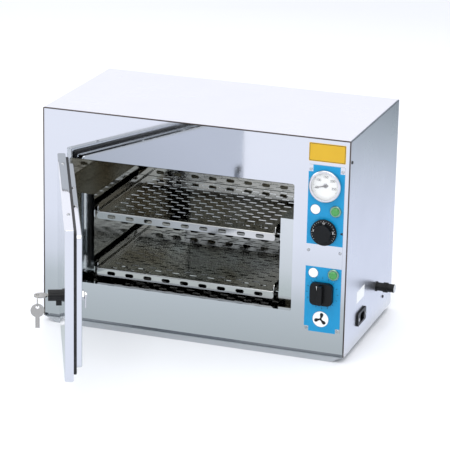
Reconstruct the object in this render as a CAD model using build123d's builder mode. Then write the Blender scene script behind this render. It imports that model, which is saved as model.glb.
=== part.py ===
from build123d import *
import os
from math import atan, cos, degrees, radians, sin, sqrt, tan

# Hot air sterilizer for a bench: a polished steel cabinet with a plug door on the left,
# two perforated trays on side racks, a fan with a ring heater, and a column of controls.
# Millimetres. X runs to the right, Y to the back and Z up. The origin is the middle of the
# cabinet's footprint, on the surface that it stands on. The door is modelled open.

os.makedirs("parts", exist_ok=True)

# Cabinet
case_width = 560.0
case_depth = 300.0
cover_height = 386.0
base_height = 11.0
sheet = 1.5
skin = 1.2
seam = 0.8
seat_gap = 0.3
cover_radius = 3.0
panel_fold = 12.0
panel_lift = 5.0
base_slope = 22.0
base_wall = 15.0
base_ledge = 9.0
base_tab_width = 30.0
base_tab_height = 45.0
back_flange = 12.0
rail_width = 24.0
rail_inset = 60.0

# Door opening in the front panel
opening_width = 413.0
opening_height = 227.5
opening_inset = 50.0
opening_lift = 72.5
opening_radius = 4.0
rim_depth = 11.0

# Chamber, racks and trays
liner_step = 8.0
chamber_depth = 264.0
rack_spacing = 346.5
rack_setback = 33.0
rack_height = 162.0
rack_slot_length = 22.0
rack_slot_width = 4.0
runner_leg = 13.0
tray_width = 331.0
tray_depth = 240.0
tray_setback = 27.0
tray_heights = (104.5, 210.0)
tray_lip_drop = 14.0
tray_side_rise = 12.0
tray_back_rise = 16.0
tray_corner = 8.0
lip_slot_length = 15.5
lip_slot_width = 7.0
lip_slot_pitch = 34.5
lip_slot_count = 9
floor_slot_length = 18.0
floor_slot_width = 4.5
floor_slot_pitch = 30.0
floor_row_pitch = 18.5
floor_columns = 10
floor_rows = 12

# Fan and heater in the right-hand duct
fan_height = 157.5
fan_radius = 54.0
fan_width = 17.0
fan_blades = 10
fan_blade_root = 20.0
fan_disc_radius = 50.0
fan_shaft_radius = 3.0
fan_hub_radius = 9.0
motor_radius = 31.0
motor_length = 40.0
motor_flange_radius = 39.0
heater_ring_radius = 72.0
heater_tube_radius = 3.5
heater_leg_gap = 24.0
running_clearance = 0.05
bore_clearance = 0.3
insulation_wall = 13.0

# Control column
control_inset = 41.5
plate_width = 64.0
plate_height = 297.5
plate_bottom = 52.5
plate_thickness = 1.0
screw_inset = 4.0
thermometer_height = 315.5
thermometer_radius = 28.0
thermometer_case_depth = 24.0
lamp_offset = 19.0
upper_lamp_height = 272.0
lower_lamp_height = 159.0
lamp_radius = 10.0
thermostat_height = 233.5
thermostat_knob_radius = 23.0
thermostat_knob_depth = 13.0
timer_height = 123.5
timer_knob_size = 41.0
timer_knob_depth = 17.0
knob_lift = 2.8
control_shaft_radius = 3.0
control_body_size = 44.0

# Fittings on the right side
inlet_y = -52.5
inlet_height = 54.5
inlet_width = 50.0
inlet_tall = 24.0
inlet_proud = 3.5
reset_y = 47.5
reset_height = 77.0
reset_radius = 7.5
reset_collar_radius = 9.0
reset_length = 34.0
reset_stub_length = 13.0

# Door, measured closed
door_open = 65.0
door_overlap_hinge = 10.0
door_overlap_free = 11.5
door_overlap_top = 11.5
door_overlap_bottom = 15.5
pan_depth = 12.7
pan_radius = 2.5
flange_inset = 1.0
gasket_depth = 5.1
gasket_width = 6.5
gasket_inset = 0.5
plug_clearance = 2.5
plug_depth = 14.1
plug_radius = 6.0
hinge_offset = 3.0
knuckle_radius = 2.7
hinge_pin_radius = 1.4
hinge_leaf = 1.5
hinge_length = 50.0
hinge_margin = 32.0
hinge_foot = 8.6

# Lock and keys
lock_inset = 25.5
lock_height = 206.5
lock_radius = 9.2
lock_proud = 25.7
lock_barrel_radius = 6.5
lock_barrel_reach = 3.7
lock_nut_height = 3.0
lock_core_radius = 4.9
cam_length = 20.0
cam_width = 11.0
cam_clearance = 0.5
key_thickness = 2.0
key_bow_radius = 11.0
key_bow_reach = 37.0
key_hole_radius = 3.0
key_hole_offset = 5.5
key_blade_width = 7.0
key_blade_length = 20.0
spare_blade_length = 18.0
ring_wire_radius = 0.8
ring_radius = 9.2
key_play = 0.3

# Fasteners
head_radius = 2.8
head_height = 1.6
shank_radius = 1.5
shank_clearance = 0.2

# Places that follow from the driving dimensions
left = -case_width / 2
right = case_width / 2
front = -case_depth / 2
back = case_depth / 2
cover_bottom = base_height
cover_top = base_height + cover_height
panel_left = left + sheet + seam
panel_right = right - sheet - seam
panel_bottom = cover_bottom + panel_lift
panel_top = cover_top - sheet - seam
opening_left = left + opening_inset
opening_right = opening_left + opening_width
opening_bottom = base_height + opening_lift
opening_top = opening_bottom + opening_height
chamber_x = (opening_left + opening_right) / 2
liner_front = front + rim_depth
liner_left = opening_left - liner_step
liner_right = opening_right + liner_step
liner_bottom = opening_bottom - liner_step
liner_top = opening_top + liner_step
liner_back = liner_front + chamber_depth
partition_x = liner_right + sheet + insulation_wall + 2 * seat_gap
rack_front = front + rack_setback
rack_top = liner_bottom + rack_height
tray_front = front + tray_setback
control_x = right - control_inset
plate_face = front - plate_thickness
plate_left = control_x - plate_width / 2 + 1
plate_top = plate_bottom + plate_height
lamp_x = control_x + lamp_offset

# Door directions: along it from the hinge pin, and out of its outer face
door_angle = radians(door_open)
along = Vector(cos(door_angle), -sin(door_angle), 0)
outward = Vector(-sin(door_angle), -cos(door_angle), 0)
door_stack = pan_depth + sheet + gasket_depth
pin = Vector(
    opening_left - door_overlap_hinge - hinge_offset,
    front - seat_gap - door_stack + hinge_offset,
    0,
)
door_start = hinge_offset
door_end = door_start + opening_width + door_overlap_hinge + door_overlap_free
door_bottom = opening_bottom - door_overlap_bottom
door_top = opening_top + door_overlap_top
gap_start = door_start + door_overlap_hinge
gap_end = gap_start + opening_width
plug_start = gap_start + plug_clearance
plug_end = gap_end - plug_clearance
plug_bottom = opening_bottom + plug_clearance
plug_top = opening_top - plug_clearance
flange_face = pan_depth + sheet
plug_face = flange_face + plug_depth
lock_x = door_end - lock_inset
hinge_middles = (
    door_bottom + hinge_margin + hinge_length / 2,
    door_top - hinge_margin - hinge_length / 2,
)
foot_left = pin.X - knuckle_radius
foot_right = foot_left + hinge_foot
hinge_screw_x = (foot_left + foot_right) / 2 + 0.4
hinge_screw_heights = [middle + s * 15.0 for middle in hinge_middles for s in (-1, 1)]
inlet_screw_y = [inlet_y + s * 20.0 for s in (-1, 1)]


def facing_front(y):
    """A sketch plane at y that faces the front: x to the right, y up."""
    return Plane(origin=(0, y, 0), x_dir=(1, 0, 0), z_dir=(0, -1, 0))


def facing_right(x):
    """A sketch plane at x that faces the right side: x to the back, y up."""
    return Plane(origin=(x, 0, 0), x_dir=(0, 1, 0), z_dir=(1, 0, 0))


def span(x0, x1, y0, y1, mode=Mode.ADD):
    """A rectangle between two x values and two y values of the sketch."""
    with Locations(((x0 + x1) / 2, (y0 + y1) / 2)):
        Rectangle(x1 - x0, y1 - y0, mode=mode)


def rounded_span(x0, x1, y0, y1, radius, mode=Mode.ADD):
    """A rectangle with round corners between two x values and two y values."""
    with Locations(((x0 + x1) / 2, (y0 + y1) / 2)):
        RectangleRounded(x1 - x0, y1 - y0, radius, mode=mode)


def disc(x, y, radius, mode=Mode.ADD):
    """A circle at a place in the sketch."""
    with Locations((x, y)):
        Circle(radius, mode=mode)


def opening_outline(grow, mode=Mode.ADD):
    """The door opening's outline, grown on every side."""
    rounded_span(
        opening_left - grow,
        opening_right + grow,
        opening_bottom - grow,
        opening_top + grow,
        opening_radius + grow,
        mode,
    )


def screw_at(plane, reach):
    """A pan-head screw on a plane: its head stands out and its shank goes in."""
    with BuildPart(plane) as screw:
        with BuildSketch(plane):
            Circle(head_radius)
        extrude(amount=head_height)
        chamfer(screw.faces().sort_by(Axis(plane.origin, plane.z_dir))[-1].edges(), 0.5)
        with BuildSketch(plane):
            Circle(shank_radius)
        extrude(amount=-reach)
    return screw.part


# Screw places that the panels share
cover_screw_places = (
    (front + panel_fold * 0.75, cover_top - 39.0),
    (back - 57.5, base_height + 32.0),
)
plate_screw_heights = (plate_bottom + 5.0, plate_bottom + 146.0, plate_top - 8.0)
plate_screw_places = [
    (x, z)
    for z in plate_screw_heights
    for x in (plate_left + screw_inset, plate_left + plate_width - screw_inset)
]
back_screw_x = right - sheet - back_flange / 2
back_screw_places = [
    (-back_screw_x, base_height + 50.0),
    (back_screw_x, base_height + 50.0),
    (-back_screw_x, cover_top - 50.0),
    (back_screw_x, cover_top - 50.0),
    (-case_width / 4, cover_top - sheet - back_flange / 2),
    (case_width / 4, cover_top - sheet - back_flange / 2),
]
screw_hole_radius = shank_radius + shank_clearance

# Outer cover: one folded sheet over the left side, the top and the right side
with BuildPart() as outer_cover:
    with BuildSketch(facing_front(front)) as cover_section:
        span(left, right, cover_bottom, cover_top)
        fillet(cover_section.vertices().group_by(Axis.Y)[-1], cover_radius)
        span(left + sheet, right - sheet, cover_bottom, cover_top - sheet, mode=Mode.SUBTRACT)
    extrude(amount=-case_depth)
    with BuildSketch(facing_front(back - sheet)):
        span(left + sheet, right - sheet, cover_bottom + base_wall + 2.0, cover_top - sheet)
        span(
            left + sheet + back_flange,
            right - sheet - back_flange,
            cover_bottom,
            cover_top - sheet - back_flange,
            mode=Mode.SUBTRACT,
        )
        for place in back_screw_places:
            disc(*place, screw_hole_radius, mode=Mode.SUBTRACT)
    extrude(amount=sheet)
    with BuildSketch(facing_right(right)):
        for place in cover_screw_places:
            disc(*place, screw_hole_radius)
        disc(reset_y, reset_height, reset_radius - 1.0)
        for y in inlet_screw_y:
            disc(y, inlet_height, screw_hole_radius)
        span(inlet_y - 14.0, inlet_y + 14.0, inlet_height - 10.5, inlet_height + 10.5)
    extrude(amount=-sheet, mode=Mode.SUBTRACT)
    with BuildSketch(facing_right(left + sheet)):
        for place in cover_screw_places:
            disc(*place, screw_hole_radius)
    extrude(amount=-sheet, mode=Mode.SUBTRACT)
outer_cover.part.label = "outer_cover"
export_step(outer_cover.part, "parts/outer_cover.step")

# Front panel: a shallow pan inside the cover, with a folded rim round the door opening
with BuildPart() as front_panel:
    with BuildSketch(facing_front(front)):
        span(panel_left, panel_right, panel_bottom, panel_top)
    extrude(amount=-sheet)
    with BuildSketch(facing_front(front + sheet)):
        span(panel_left, panel_right, panel_bottom, panel_top)
        span(
            panel_left + sheet,
            panel_right - sheet,
            panel_bottom,
            panel_top - sheet,
            mode=Mode.SUBTRACT,
        )
    extrude(amount=-(panel_fold - sheet))
    with BuildSketch(facing_front(front + sheet)):
        span(panel_left + sheet, panel_right - sheet, panel_bottom, panel_bottom + sheet)
    extrude(amount=-(base_ledge - sheet))
    with BuildSketch(facing_front(front)):
        opening_outline(sheet)
    extrude(amount=-rim_depth)
    with BuildSketch(facing_front(front)):
        opening_outline(0.0)
    extrude(amount=-rim_depth, mode=Mode.SUBTRACT)
    with BuildSketch(facing_front(front)):
        for place in plate_screw_places:
            disc(*place, screw_hole_radius)
        for z in hinge_screw_heights:
            disc(hinge_screw_x, z, screw_hole_radius)
        disc(control_x, thermometer_height, thermometer_radius - 2.8)
        disc(control_x, thermostat_height, control_shaft_radius + 2.0)
        disc(control_x, timer_height, control_shaft_radius + 2.0)
        disc(lamp_x, upper_lamp_height, lamp_radius - 3.4)
        disc(lamp_x, lower_lamp_height, lamp_radius - 3.4)
    extrude(amount=-sheet, mode=Mode.SUBTRACT)
    with BuildSketch(facing_right(panel_right)):
        disc(*cover_screw_places[0], screw_hole_radius)
    extrude(amount=-sheet, mode=Mode.SUBTRACT)
    with BuildSketch(facing_right(panel_left + sheet)):
        disc(*cover_screw_places[0], screw_hole_radius)
    extrude(amount=-sheet, mode=Mode.SUBTRACT)
front_panel.part.label = "front_panel"
export_step(front_panel.part, "parts/front_panel.step")

# Back panel: flat sheet with two groups of air slots
with BuildPart() as back_panel:
    with BuildSketch(facing_front(back)):
        span(panel_left, panel_right, cover_bottom + seat_gap, panel_top)
        with Locations((control_x, cover_top - 110.0), (control_x, base_height + 110.0)):
            with GridLocations(1.0, 10.0, 1, 8):
                SlotOverall(46.0, 4.0, mode=Mode.SUBTRACT)
        for place in back_screw_places:
            disc(*place, screw_hole_radius, mode=Mode.SUBTRACT)
    extrude(amount=sheet)
back_panel.part.label = "back_panel"
export_step(back_panel.part, "parts/back_panel.step")


def trough_points(inset, wall_top):
    """Section of the base pan, moved inwards by inset: sloped sides and a flat bottom."""
    lean = atan(base_height / base_slope)
    half_top = case_width / 2 - sheet - inset
    half_bottom = case_width / 2 - sheet - base_slope - inset * tan(lean / 2)
    knee = base_height + inset * tan((radians(90) - lean) / 2)
    return [
        (-half_top, wall_top),
        (-half_top, knee),
        (-half_bottom, inset),
        (half_bottom, inset),
        (half_top, knee),
        (half_top, wall_top),
    ]


# Base pan: the folded tray that the cabinet stands on
with BuildPart() as base_pan:
    with BuildSketch(facing_front(front)):
        with BuildLine():
            Polyline(*trough_points(0.0, base_height + base_wall), close=True)
        make_face()
        with BuildLine():
            Polyline(*trough_points(sheet, base_height + base_wall), close=True)
        make_face(mode=Mode.SUBTRACT)
    extrude(amount=-case_depth)
    for y, length in ((front, panel_fold + 1.0), (back - sheet - seat_gap, sheet + seat_gap)):
        with BuildSketch(facing_front(y)):
            span(left, right, base_height, base_height + base_wall)
        extrude(amount=-length, mode=Mode.SUBTRACT)
    for y in (front, back - sheet):
        with BuildSketch(facing_front(y)):
            with BuildLine():
                Polyline(*trough_points(0.0, base_height + base_wall), close=True)
            make_face()
            span(left, right, base_height - 0.5, base_height + base_wall, mode=Mode.SUBTRACT)
        extrude(amount=-sheet)
    with BuildSketch(facing_front(front)):
        span(panel_left, panel_right, base_height - 0.5 - sheet, base_height - 0.5)
    extrude(amount=-(base_ledge + sheet))
    with BuildSketch(facing_front(front + base_ledge)):
        span(
            panel_left + sheet + seat_gap,
            panel_right - sheet - seat_gap,
            base_height - 0.5 - sheet,
            base_height + base_wall,
        )
    extrude(amount=-sheet)
    for x in (left + 2 * sheet, right - sheet):
        with BuildSketch(facing_right(x)):
            tab_y, tab_z = cover_screw_places[1]
            span(
                tab_y - base_tab_width / 2,
                tab_y + base_tab_width / 2,
                base_height + base_wall - 1.0,
                base_height + base_tab_height,
            )
            disc(tab_y, tab_z, screw_hole_radius, mode=Mode.SUBTRACT)
        extrude(amount=-sheet)
base_pan.part.label = "base_pan"
export_step(base_pan.part, "parts/base_pan.step")

# Ring heater's places, which the liner, insulation and partition share
duct_left = chamber_x + rack_spacing / 2 + skin
duct_middle = (duct_left + liner_right) / 2
heater_x = duct_middle - 4.0
heater_leg_y = sqrt(heater_ring_radius**2 - (heater_leg_gap / 2) ** 2)
heater_leg_places = [(heater_leg_y, fan_height + s * heater_leg_gap / 2) for s in (-1, 1)]
heater_hole_radius = heater_tube_radius + bore_clearance
shaft_hole_radius = fan_shaft_radius + 1.5


def duct_wall_holes(mode=Mode.ADD):
    """The holes for the fan's shaft and the heater's two legs, on a plane facing right."""
    disc(0, fan_height, shaft_hole_radius, mode)
    for place in heater_leg_places:
        disc(*place, heater_hole_radius, mode)


# Rails: two channels on the base pan, which carry the insulation and the partition
wool_bottom = base_height + base_wall + 2.0
with BuildPart() as support_rails:
    for y in (front + rail_inset, back - rail_inset):
        with BuildSketch(facing_right(-case_width / 2 + rail_inset / 2)):
            span(y - rail_width / 2, y + rail_width / 2, sheet, wool_bottom)
            span(
                y - rail_width / 2 + sheet,
                y + rail_width / 2 - sheet,
                sheet,
                wool_bottom - sheet,
                mode=Mode.SUBTRACT,
            )
        extrude(amount=case_width - rail_inset)
support_rails.part.label = "support_rails"
export_step(support_rails.part, "parts/support_rails.step")

# Chamber liner: a welded box behind the opening, with a front flange that meets the rim
with BuildPart() as chamber_liner:
    with BuildSketch(facing_front(liner_front)):
        span(liner_left - sheet, liner_right + sheet, liner_bottom - sheet, liner_top + sheet)
    extrude(amount=-(chamber_depth + sheet))
    with BuildSketch(facing_front(liner_front + sheet)):
        span(liner_left, liner_right, liner_bottom, liner_top)
    extrude(amount=-(chamber_depth - sheet), mode=Mode.SUBTRACT)
    with BuildSketch(facing_front(liner_front)):
        opening_outline(0.0)
    extrude(amount=-sheet, mode=Mode.SUBTRACT)
    with BuildSketch(facing_right(liner_right + sheet)):
        duct_wall_holes()
    extrude(amount=-sheet, mode=Mode.SUBTRACT)
chamber_liner.part.label = "chamber_liner"
export_step(chamber_liner.part, "parts/chamber_liner.step")

# Insulation: mineral wool packed round the liner
wool_left = left + sheet + 4.0
wool_right = partition_x - seat_gap
wool_back = back - sheet - 2.0
wool_top = cover_top - sheet - 4.0
with BuildPart() as insulation:
    with BuildSketch(facing_front(liner_front + sheet)):
        span(wool_left, wool_right, wool_bottom, wool_top)
    extrude(amount=-(wool_back - liner_front - sheet))
    with BuildSketch(facing_front(liner_front + sheet)):
        span(
            liner_left - sheet - seat_gap,
            liner_right + sheet + seat_gap,
            liner_bottom - sheet - seat_gap,
            liner_top + sheet + seat_gap,
        )
    extrude(amount=-(chamber_depth + seat_gap), mode=Mode.SUBTRACT)
    with BuildSketch(facing_right(wool_right)):
        duct_wall_holes()
    extrude(amount=-(wool_right - liner_right), mode=Mode.SUBTRACT)
insulation.part.label = "insulation"
export_step(insulation.part, "parts/insulation.step")

# Control partition: the plate between the insulation and the control compartment
with BuildPart() as control_partition:
    with BuildSketch(facing_right(partition_x)):
        span(liner_front + sheet, wool_back, wool_bottom, wool_top)
        duct_wall_holes(mode=Mode.SUBTRACT)
    extrude(amount=skin)
    with BuildSketch(Plane.XY.offset(wool_bottom)):
        span(
            partition_x,
            partition_x + 14.0,
            liner_front + sheet,
            wool_back,
        )
    extrude(amount=skin)
control_partition.part.label = "control_partition"
export_step(control_partition.part, "parts/control_partition.step")

# Rack walls: guards over the side ducts, with air slots, which carry the tray runners
rack_back = liner_back - seat_gap
rack_floor = liner_bottom + seat_gap
rack_middle_y = (rack_front + rack_back) / 2
rack_slot_rows = (rack_floor + 12.0, rack_top - 14.0)


def rack_slots():
    """Two rows of air slots along a rack wall."""
    for z in rack_slot_rows:
        with Locations((rack_middle_y, z)):
            with GridLocations(28.0, 1.0, 8, 1):
                SlotOverall(rack_slot_length, rack_slot_width, mode=Mode.SUBTRACT)


def fan_grille():
    """The rings of holes in front of the fan."""
    with Locations((0, fan_height)):
        Circle(4.5, mode=Mode.SUBTRACT)
        for ring, count in ((17.0, 6), (33.0, 12)):
            with PolarLocations(ring, count):
                Circle(4.5, mode=Mode.SUBTRACT)


for side, wall_name in ((-1, "left_rack_wall"), (1, "right_rack_wall")):
    face_x = chamber_x + side * rack_spacing / 2
    outer_x = chamber_x + side * (opening_width / 2 + liner_step - seat_gap)
    low_x, high_x = sorted((face_x, outer_x))
    plate_x = face_x if side > 0 else face_x - skin
    with BuildPart() as rack_wall:
        with BuildSketch(facing_right(plate_x)):
            span(rack_front, rack_back, rack_floor, rack_top)
            rack_slots()
            if side > 0:
                fan_grille()
        extrude(amount=skin)
        with BuildSketch(facing_front(rack_front)):
            span(low_x, high_x, rack_floor, rack_top)
        extrude(amount=-skin)
        with BuildSketch(Plane.XY.offset(rack_top - skin)):
            span(low_x, high_x, rack_front, rack_back)
        extrude(amount=skin)
    rack_wall.part.label = wall_name
    export_step(rack_wall.part, f"parts/{wall_name}.step")

# Runners: a pair of angles on each rack wall, one for each tray
for side, runners_name in ((-1, "left_runners"), (1, "right_runners")):
    face_x = chamber_x + side * rack_spacing / 2
    with BuildPart() as runners:
        for tray_top in tray_heights:
            leg_top = tray_top - skin - seat_gap
            with BuildSketch(facing_front(rack_front + 2.0)):
                low_x, high_x = sorted((face_x, face_x - side * runner_leg))
                span(low_x, high_x, leg_top - skin, leg_top)
                low_x, high_x = sorted((face_x, face_x - side * skin))
                span(low_x, high_x, leg_top - runner_leg, leg_top)
            extrude(amount=-(rack_back - rack_front - 4.0))
    runners.part.label = runners_name
    export_step(runners.part, f"parts/{runners_name}.step")

# Trays: perforated floor, slotted front lip folded down, sides and slotted back folded up
tray_left = chamber_x - tray_width / 2
tray_right = chamber_x + tray_width / 2
tray_back = tray_front + tray_depth


def floor_slots(row_shift):
    """Staggered rows of slots over a tray's floor."""
    middle_y = (tray_front + tray_back) / 2
    for row in range(floor_rows):
        y = middle_y + (row - (floor_rows - 1) / 2) * floor_row_pitch
        columns = floor_columns - (row + row_shift) % 2
        with Locations((chamber_x, y)):
            with GridLocations(floor_slot_pitch, 1.0, columns, 1):
                Rectangle(floor_slot_length, floor_slot_width, mode=Mode.SUBTRACT)


def lip_slots(z):
    """The row of round-ended slots along a tray's lip."""
    with Locations((chamber_x, z)):
        with GridLocations(lip_slot_pitch, 1.0, lip_slot_count, 1):
            SlotOverall(lip_slot_length, lip_slot_width, mode=Mode.SUBTRACT)


for tray_top, tray_name in zip(tray_heights, ("lower_tray", "upper_tray")):
    floor_z = tray_top - skin
    with BuildPart() as tray:
        with BuildSketch(Plane.XY.offset(floor_z)):
            span(tray_left, tray_right, tray_front, tray_back)
            floor_slots(0)
        extrude(amount=skin)
        with BuildSketch(facing_front(tray_front)) as lip_shape:
            span(tray_left, tray_right, tray_top - tray_lip_drop, tray_top)
            fillet(lip_shape.vertices().group_by(Axis.Y)[0], tray_corner)
            lip_slots(tray_top - tray_lip_drop / 2)
        extrude(amount=-skin)
        with BuildSketch(facing_front(tray_back - skin)) as back_shape:
            span(tray_left, tray_right, floor_z, tray_top + tray_back_rise)
            fillet(back_shape.vertices().group_by(Axis.Y)[-1], tray_corner)
            lip_slots(tray_top + tray_back_rise / 2)
        extrude(amount=-skin)
        for x in (tray_left, tray_right - skin):
            with BuildSketch(facing_right(x)) as side_shape:
                span(tray_front + 3.0, tray_back, floor_z, tray_top + tray_side_rise)
                fillet(
                    side_shape.vertices().group_by(Axis.Y)[-1].sort_by(Axis.X)[0],
                    tray_corner,
                )
            extrude(amount=skin)
    tray.part.label = tray_name
    export_step(tray.part, f"parts/{tray_name}.step")

# Heating element: a tube bent to a ring round the fan, with two legs through the wall
heater_arc = 360 - 2 * degrees(atan(heater_leg_gap / 2 / heater_leg_y))
heater_leg_end = partition_x + skin + 12.0
heating_ring_start = Plane(
    origin=(heater_x, heater_leg_places[1][0], heater_leg_places[1][1]),
    x_dir=(1, 0, 0),
    z_dir=(0, -heater_leg_gap / 2 / heater_ring_radius, heater_leg_y / heater_ring_radius),
)
fan_axis = Axis((0, 0, fan_height), (1, 0, 0))
with BuildPart() as heating_element:
    with BuildSketch(heating_ring_start):
        Circle(heater_tube_radius)
    revolve(axis=fan_axis, revolution_arc=heater_arc)
    for place in heater_leg_places:
        with BuildSketch(facing_right(heater_x)):
            disc(*place, heater_tube_radius)
        extrude(amount=heater_leg_end - heater_x)
        with Locations((heater_x, *place)):
            Sphere(heater_tube_radius)
heating_element.part.label = "heating_element"
export_step(heating_element.part, "parts/heating_element.step")

# Bushes: a ceramic sleeve on each heater leg where it leaves the partition
with BuildPart() as heater_bushes:
    with BuildSketch(facing_right(partition_x + skin)):
        for place in heater_leg_places:
            disc(*place, heater_tube_radius + 3.0)
            disc(*place, heater_tube_radius, mode=Mode.SUBTRACT)
    extrude(amount=7.0)
heater_bushes.part.label = "heater_bushes"
export_step(heater_bushes.part, "parts/heater_bushes.step")

# Fan: a wheel with radial blades on a back disc, its shaft and its motor
fan_back = duct_middle + fan_width / 2
with BuildPart() as fan_impeller:
    with BuildSketch(facing_right(fan_back)):
        disc(0, fan_height, fan_disc_radius)
    extrude(amount=-skin)
    with BuildSketch(facing_right(fan_back)):
        disc(0, fan_height, fan_hub_radius)
    extrude(amount=-fan_width + 3.0)
    with BuildSketch(facing_right(fan_back)):
        with Locations((0, fan_height)):
            with PolarLocations((fan_blade_root + fan_radius) / 2, fan_blades):
                Rectangle(fan_radius - fan_blade_root, skin)
    extrude(amount=-fan_width)
    with BuildSketch(facing_right(fan_back)):
        disc(0, fan_height, fan_shaft_radius)
    extrude(amount=-fan_width, mode=Mode.SUBTRACT)
fan_impeller.part.label = "fan_impeller"
export_step(fan_impeller.part, "parts/fan_impeller.step")

motor_face = partition_x + skin + seat_gap
with BuildPart() as fan_shaft:
    with BuildSketch(facing_right(fan_back - fan_width + 2.0)):
        disc(0, fan_height, fan_shaft_radius)
    extrude(amount=motor_face + motor_length - 8.0 - (fan_back - fan_width + 2.0))
fan_shaft.part.label = "fan_shaft"
export_step(fan_shaft.part, "parts/fan_shaft.step")

with BuildPart() as fan_motor:
    with BuildSketch(facing_right(motor_face)):
        disc(0, fan_height, motor_flange_radius)
    extrude(amount=2.0)
    with BuildSketch(facing_right(motor_face)):
        disc(0, fan_height, motor_radius)
    extrude(amount=motor_length)
    fillet(fan_motor.edges().group_by(Axis.X)[-1], 3.0)
    with BuildSketch(facing_right(motor_face)):
        disc(0, fan_height, fan_shaft_radius + running_clearance)
    extrude(amount=motor_length - 6.0, mode=Mode.SUBTRACT)
fan_motor.part.label = "fan_motor"
export_step(fan_motor.part, "parts/fan_motor.step")

# Control plate: thin printed plate over the right-hand end of the front panel
thermometer_case_radius = thermometer_radius - 3.2
lamp_barrel_radius = lamp_radius - 3.6
bush_radius = control_shaft_radius + 1.8
with BuildPart() as control_plate:
    with BuildSketch(facing_front(front)):
        rounded_span(plate_left, plate_left + plate_width, plate_bottom, plate_top, 1.0)
        for place in plate_screw_places:
            disc(*place, screw_hole_radius, mode=Mode.SUBTRACT)
        disc(control_x, thermometer_height, thermometer_radius - 2.8, mode=Mode.SUBTRACT)
        for z in (thermostat_height, timer_height):
            disc(control_x, z, control_shaft_radius + 2.0, mode=Mode.SUBTRACT)
        for z in (upper_lamp_height, lower_lamp_height):
            disc(lamp_x, z, lamp_radius - 3.4, mode=Mode.SUBTRACT)
    extrude(amount=plate_thickness)
control_plate.part.label = "control_plate"
export_step(control_plate.part, "parts/control_plate.step")

# Dial thermometer: case behind the plate, dial, bezel and glass in front of it
dial_seat = plate_face - 1.5
bezel_front = plate_face - 9.0
needle_pin_radius = 1.2
with BuildPart() as thermometer_case:
    with BuildSketch(facing_front(dial_seat)):
        disc(control_x, thermometer_height, thermometer_radius - 1.7)
    extrude(amount=dial_seat - plate_face)
    with BuildSketch(facing_front(plate_face)):
        disc(control_x, thermometer_height, thermometer_case_radius)
    extrude(amount=-thermometer_case_depth)
    fillet(thermometer_case.edges().group_by(Axis.Y)[-1], 2.0)
    with BuildSketch(facing_front(dial_seat)):
        disc(control_x, thermometer_height, needle_pin_radius + running_clearance)
    extrude(amount=-8.0, mode=Mode.SUBTRACT)
thermometer_case.part.label = "thermometer_case"
export_step(thermometer_case.part, "parts/thermometer_case.step")

with BuildPart() as thermometer_dial:
    with BuildSketch(facing_front(dial_seat)):
        disc(control_x, thermometer_height, thermometer_radius - 3.0)
        disc(
            control_x,
            thermometer_height,
            needle_pin_radius + running_clearance,
            mode=Mode.SUBTRACT,
        )
    extrude(amount=0.8)
thermometer_dial.part.label = "thermometer_dial"
export_step(thermometer_dial.part, "parts/thermometer_dial.step")

with BuildPart() as thermometer_bezel:
    with BuildSketch(facing_front(plate_face)):
        disc(control_x, thermometer_height, thermometer_radius)
    extrude(amount=plate_face - bezel_front)
    fillet(thermometer_bezel.edges().group_by(Axis.Y)[0], 2.0)
    with BuildSketch(facing_front(plate_face)):
        disc(control_x, thermometer_height, thermometer_radius - 1.6)
    extrude(amount=1.6, mode=Mode.SUBTRACT)
    with BuildSketch(facing_front(plate_face - 1.6)):
        disc(control_x, thermometer_height, thermometer_radius - 2.8)
    extrude(amount=5.9, mode=Mode.SUBTRACT)
    with BuildSketch(facing_front(bezel_front + 1.5)):
        disc(control_x, thermometer_height, thermometer_radius - 4.2)
    extrude(amount=1.5, mode=Mode.SUBTRACT)
thermometer_bezel.part.label = "thermometer_bezel"
export_step(thermometer_bezel.part, "parts/thermometer_bezel.step")

with BuildPart() as thermometer_glass:
    with BuildSketch(facing_front(bezel_front + 3.0)):
        disc(control_x, thermometer_height, thermometer_radius - 3.0)
    extrude(amount=1.4)
thermometer_glass.part.label = "thermometer_glass"
export_step(thermometer_glass.part, "parts/thermometer_glass.step")

# Needle: at rest it points to the left and slightly down
needle_back = dial_seat - 0.8 - seat_gap
needle_dip = 14.0
needle_plane = Plane(
    origin=(control_x, needle_back - 0.6, thermometer_height),
    x_dir=(-cos(radians(needle_dip)), 0, -sin(radians(needle_dip))),
    z_dir=(0, -1, 0),
)
with BuildPart() as thermometer_needle:
    with BuildSketch(facing_front(needle_back)):
        disc(control_x, thermometer_height, 2.4)
    extrude(amount=1.8)
    with BuildSketch(needle_plane):
        with BuildLine():
            Polyline((-5.0, -1.2), (19.5, -0.3), (19.5, 0.3), (-5.0, 1.2), close=True)
        make_face()
    extrude(amount=0.6)
    with BuildSketch(facing_front(needle_back)):
        disc(control_x, thermometer_height, needle_pin_radius)
    extrude(amount=-5.0)
thermometer_needle.part.label = "thermometer_needle"
export_step(thermometer_needle.part, "parts/thermometer_needle.step")

# Pilot lamps: a bright ring with a barrel through the panel, and a domed lens
with BuildPart() as lamp_bezels:
    for z in (upper_lamp_height, lower_lamp_height):
        with BuildSketch(facing_front(plate_face)):
            disc(lamp_x, z, lamp_radius)
        extrude(amount=3.0)
    chamfer(lamp_bezels.edges().group_by(Axis.Y)[0], 0.8)
    for z in (upper_lamp_height, lower_lamp_height):
        with BuildSketch(facing_front(plate_face)):
            disc(lamp_x, z, lamp_barrel_radius)
        extrude(amount=-18.0)
        with BuildSketch(facing_front(front + sheet)):
            disc(lamp_x, z, lamp_radius - 0.5)
        extrude(amount=-3.0)
        with BuildSketch(facing_front(plate_face - 3.0)):
            disc(lamp_x, z, lamp_barrel_radius - 0.9)
        extrude(amount=-16.0, mode=Mode.SUBTRACT)
lamp_bezels.part.label = "lamp_bezels"
export_step(lamp_bezels.part, "parts/lamp_bezels.step")

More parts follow.
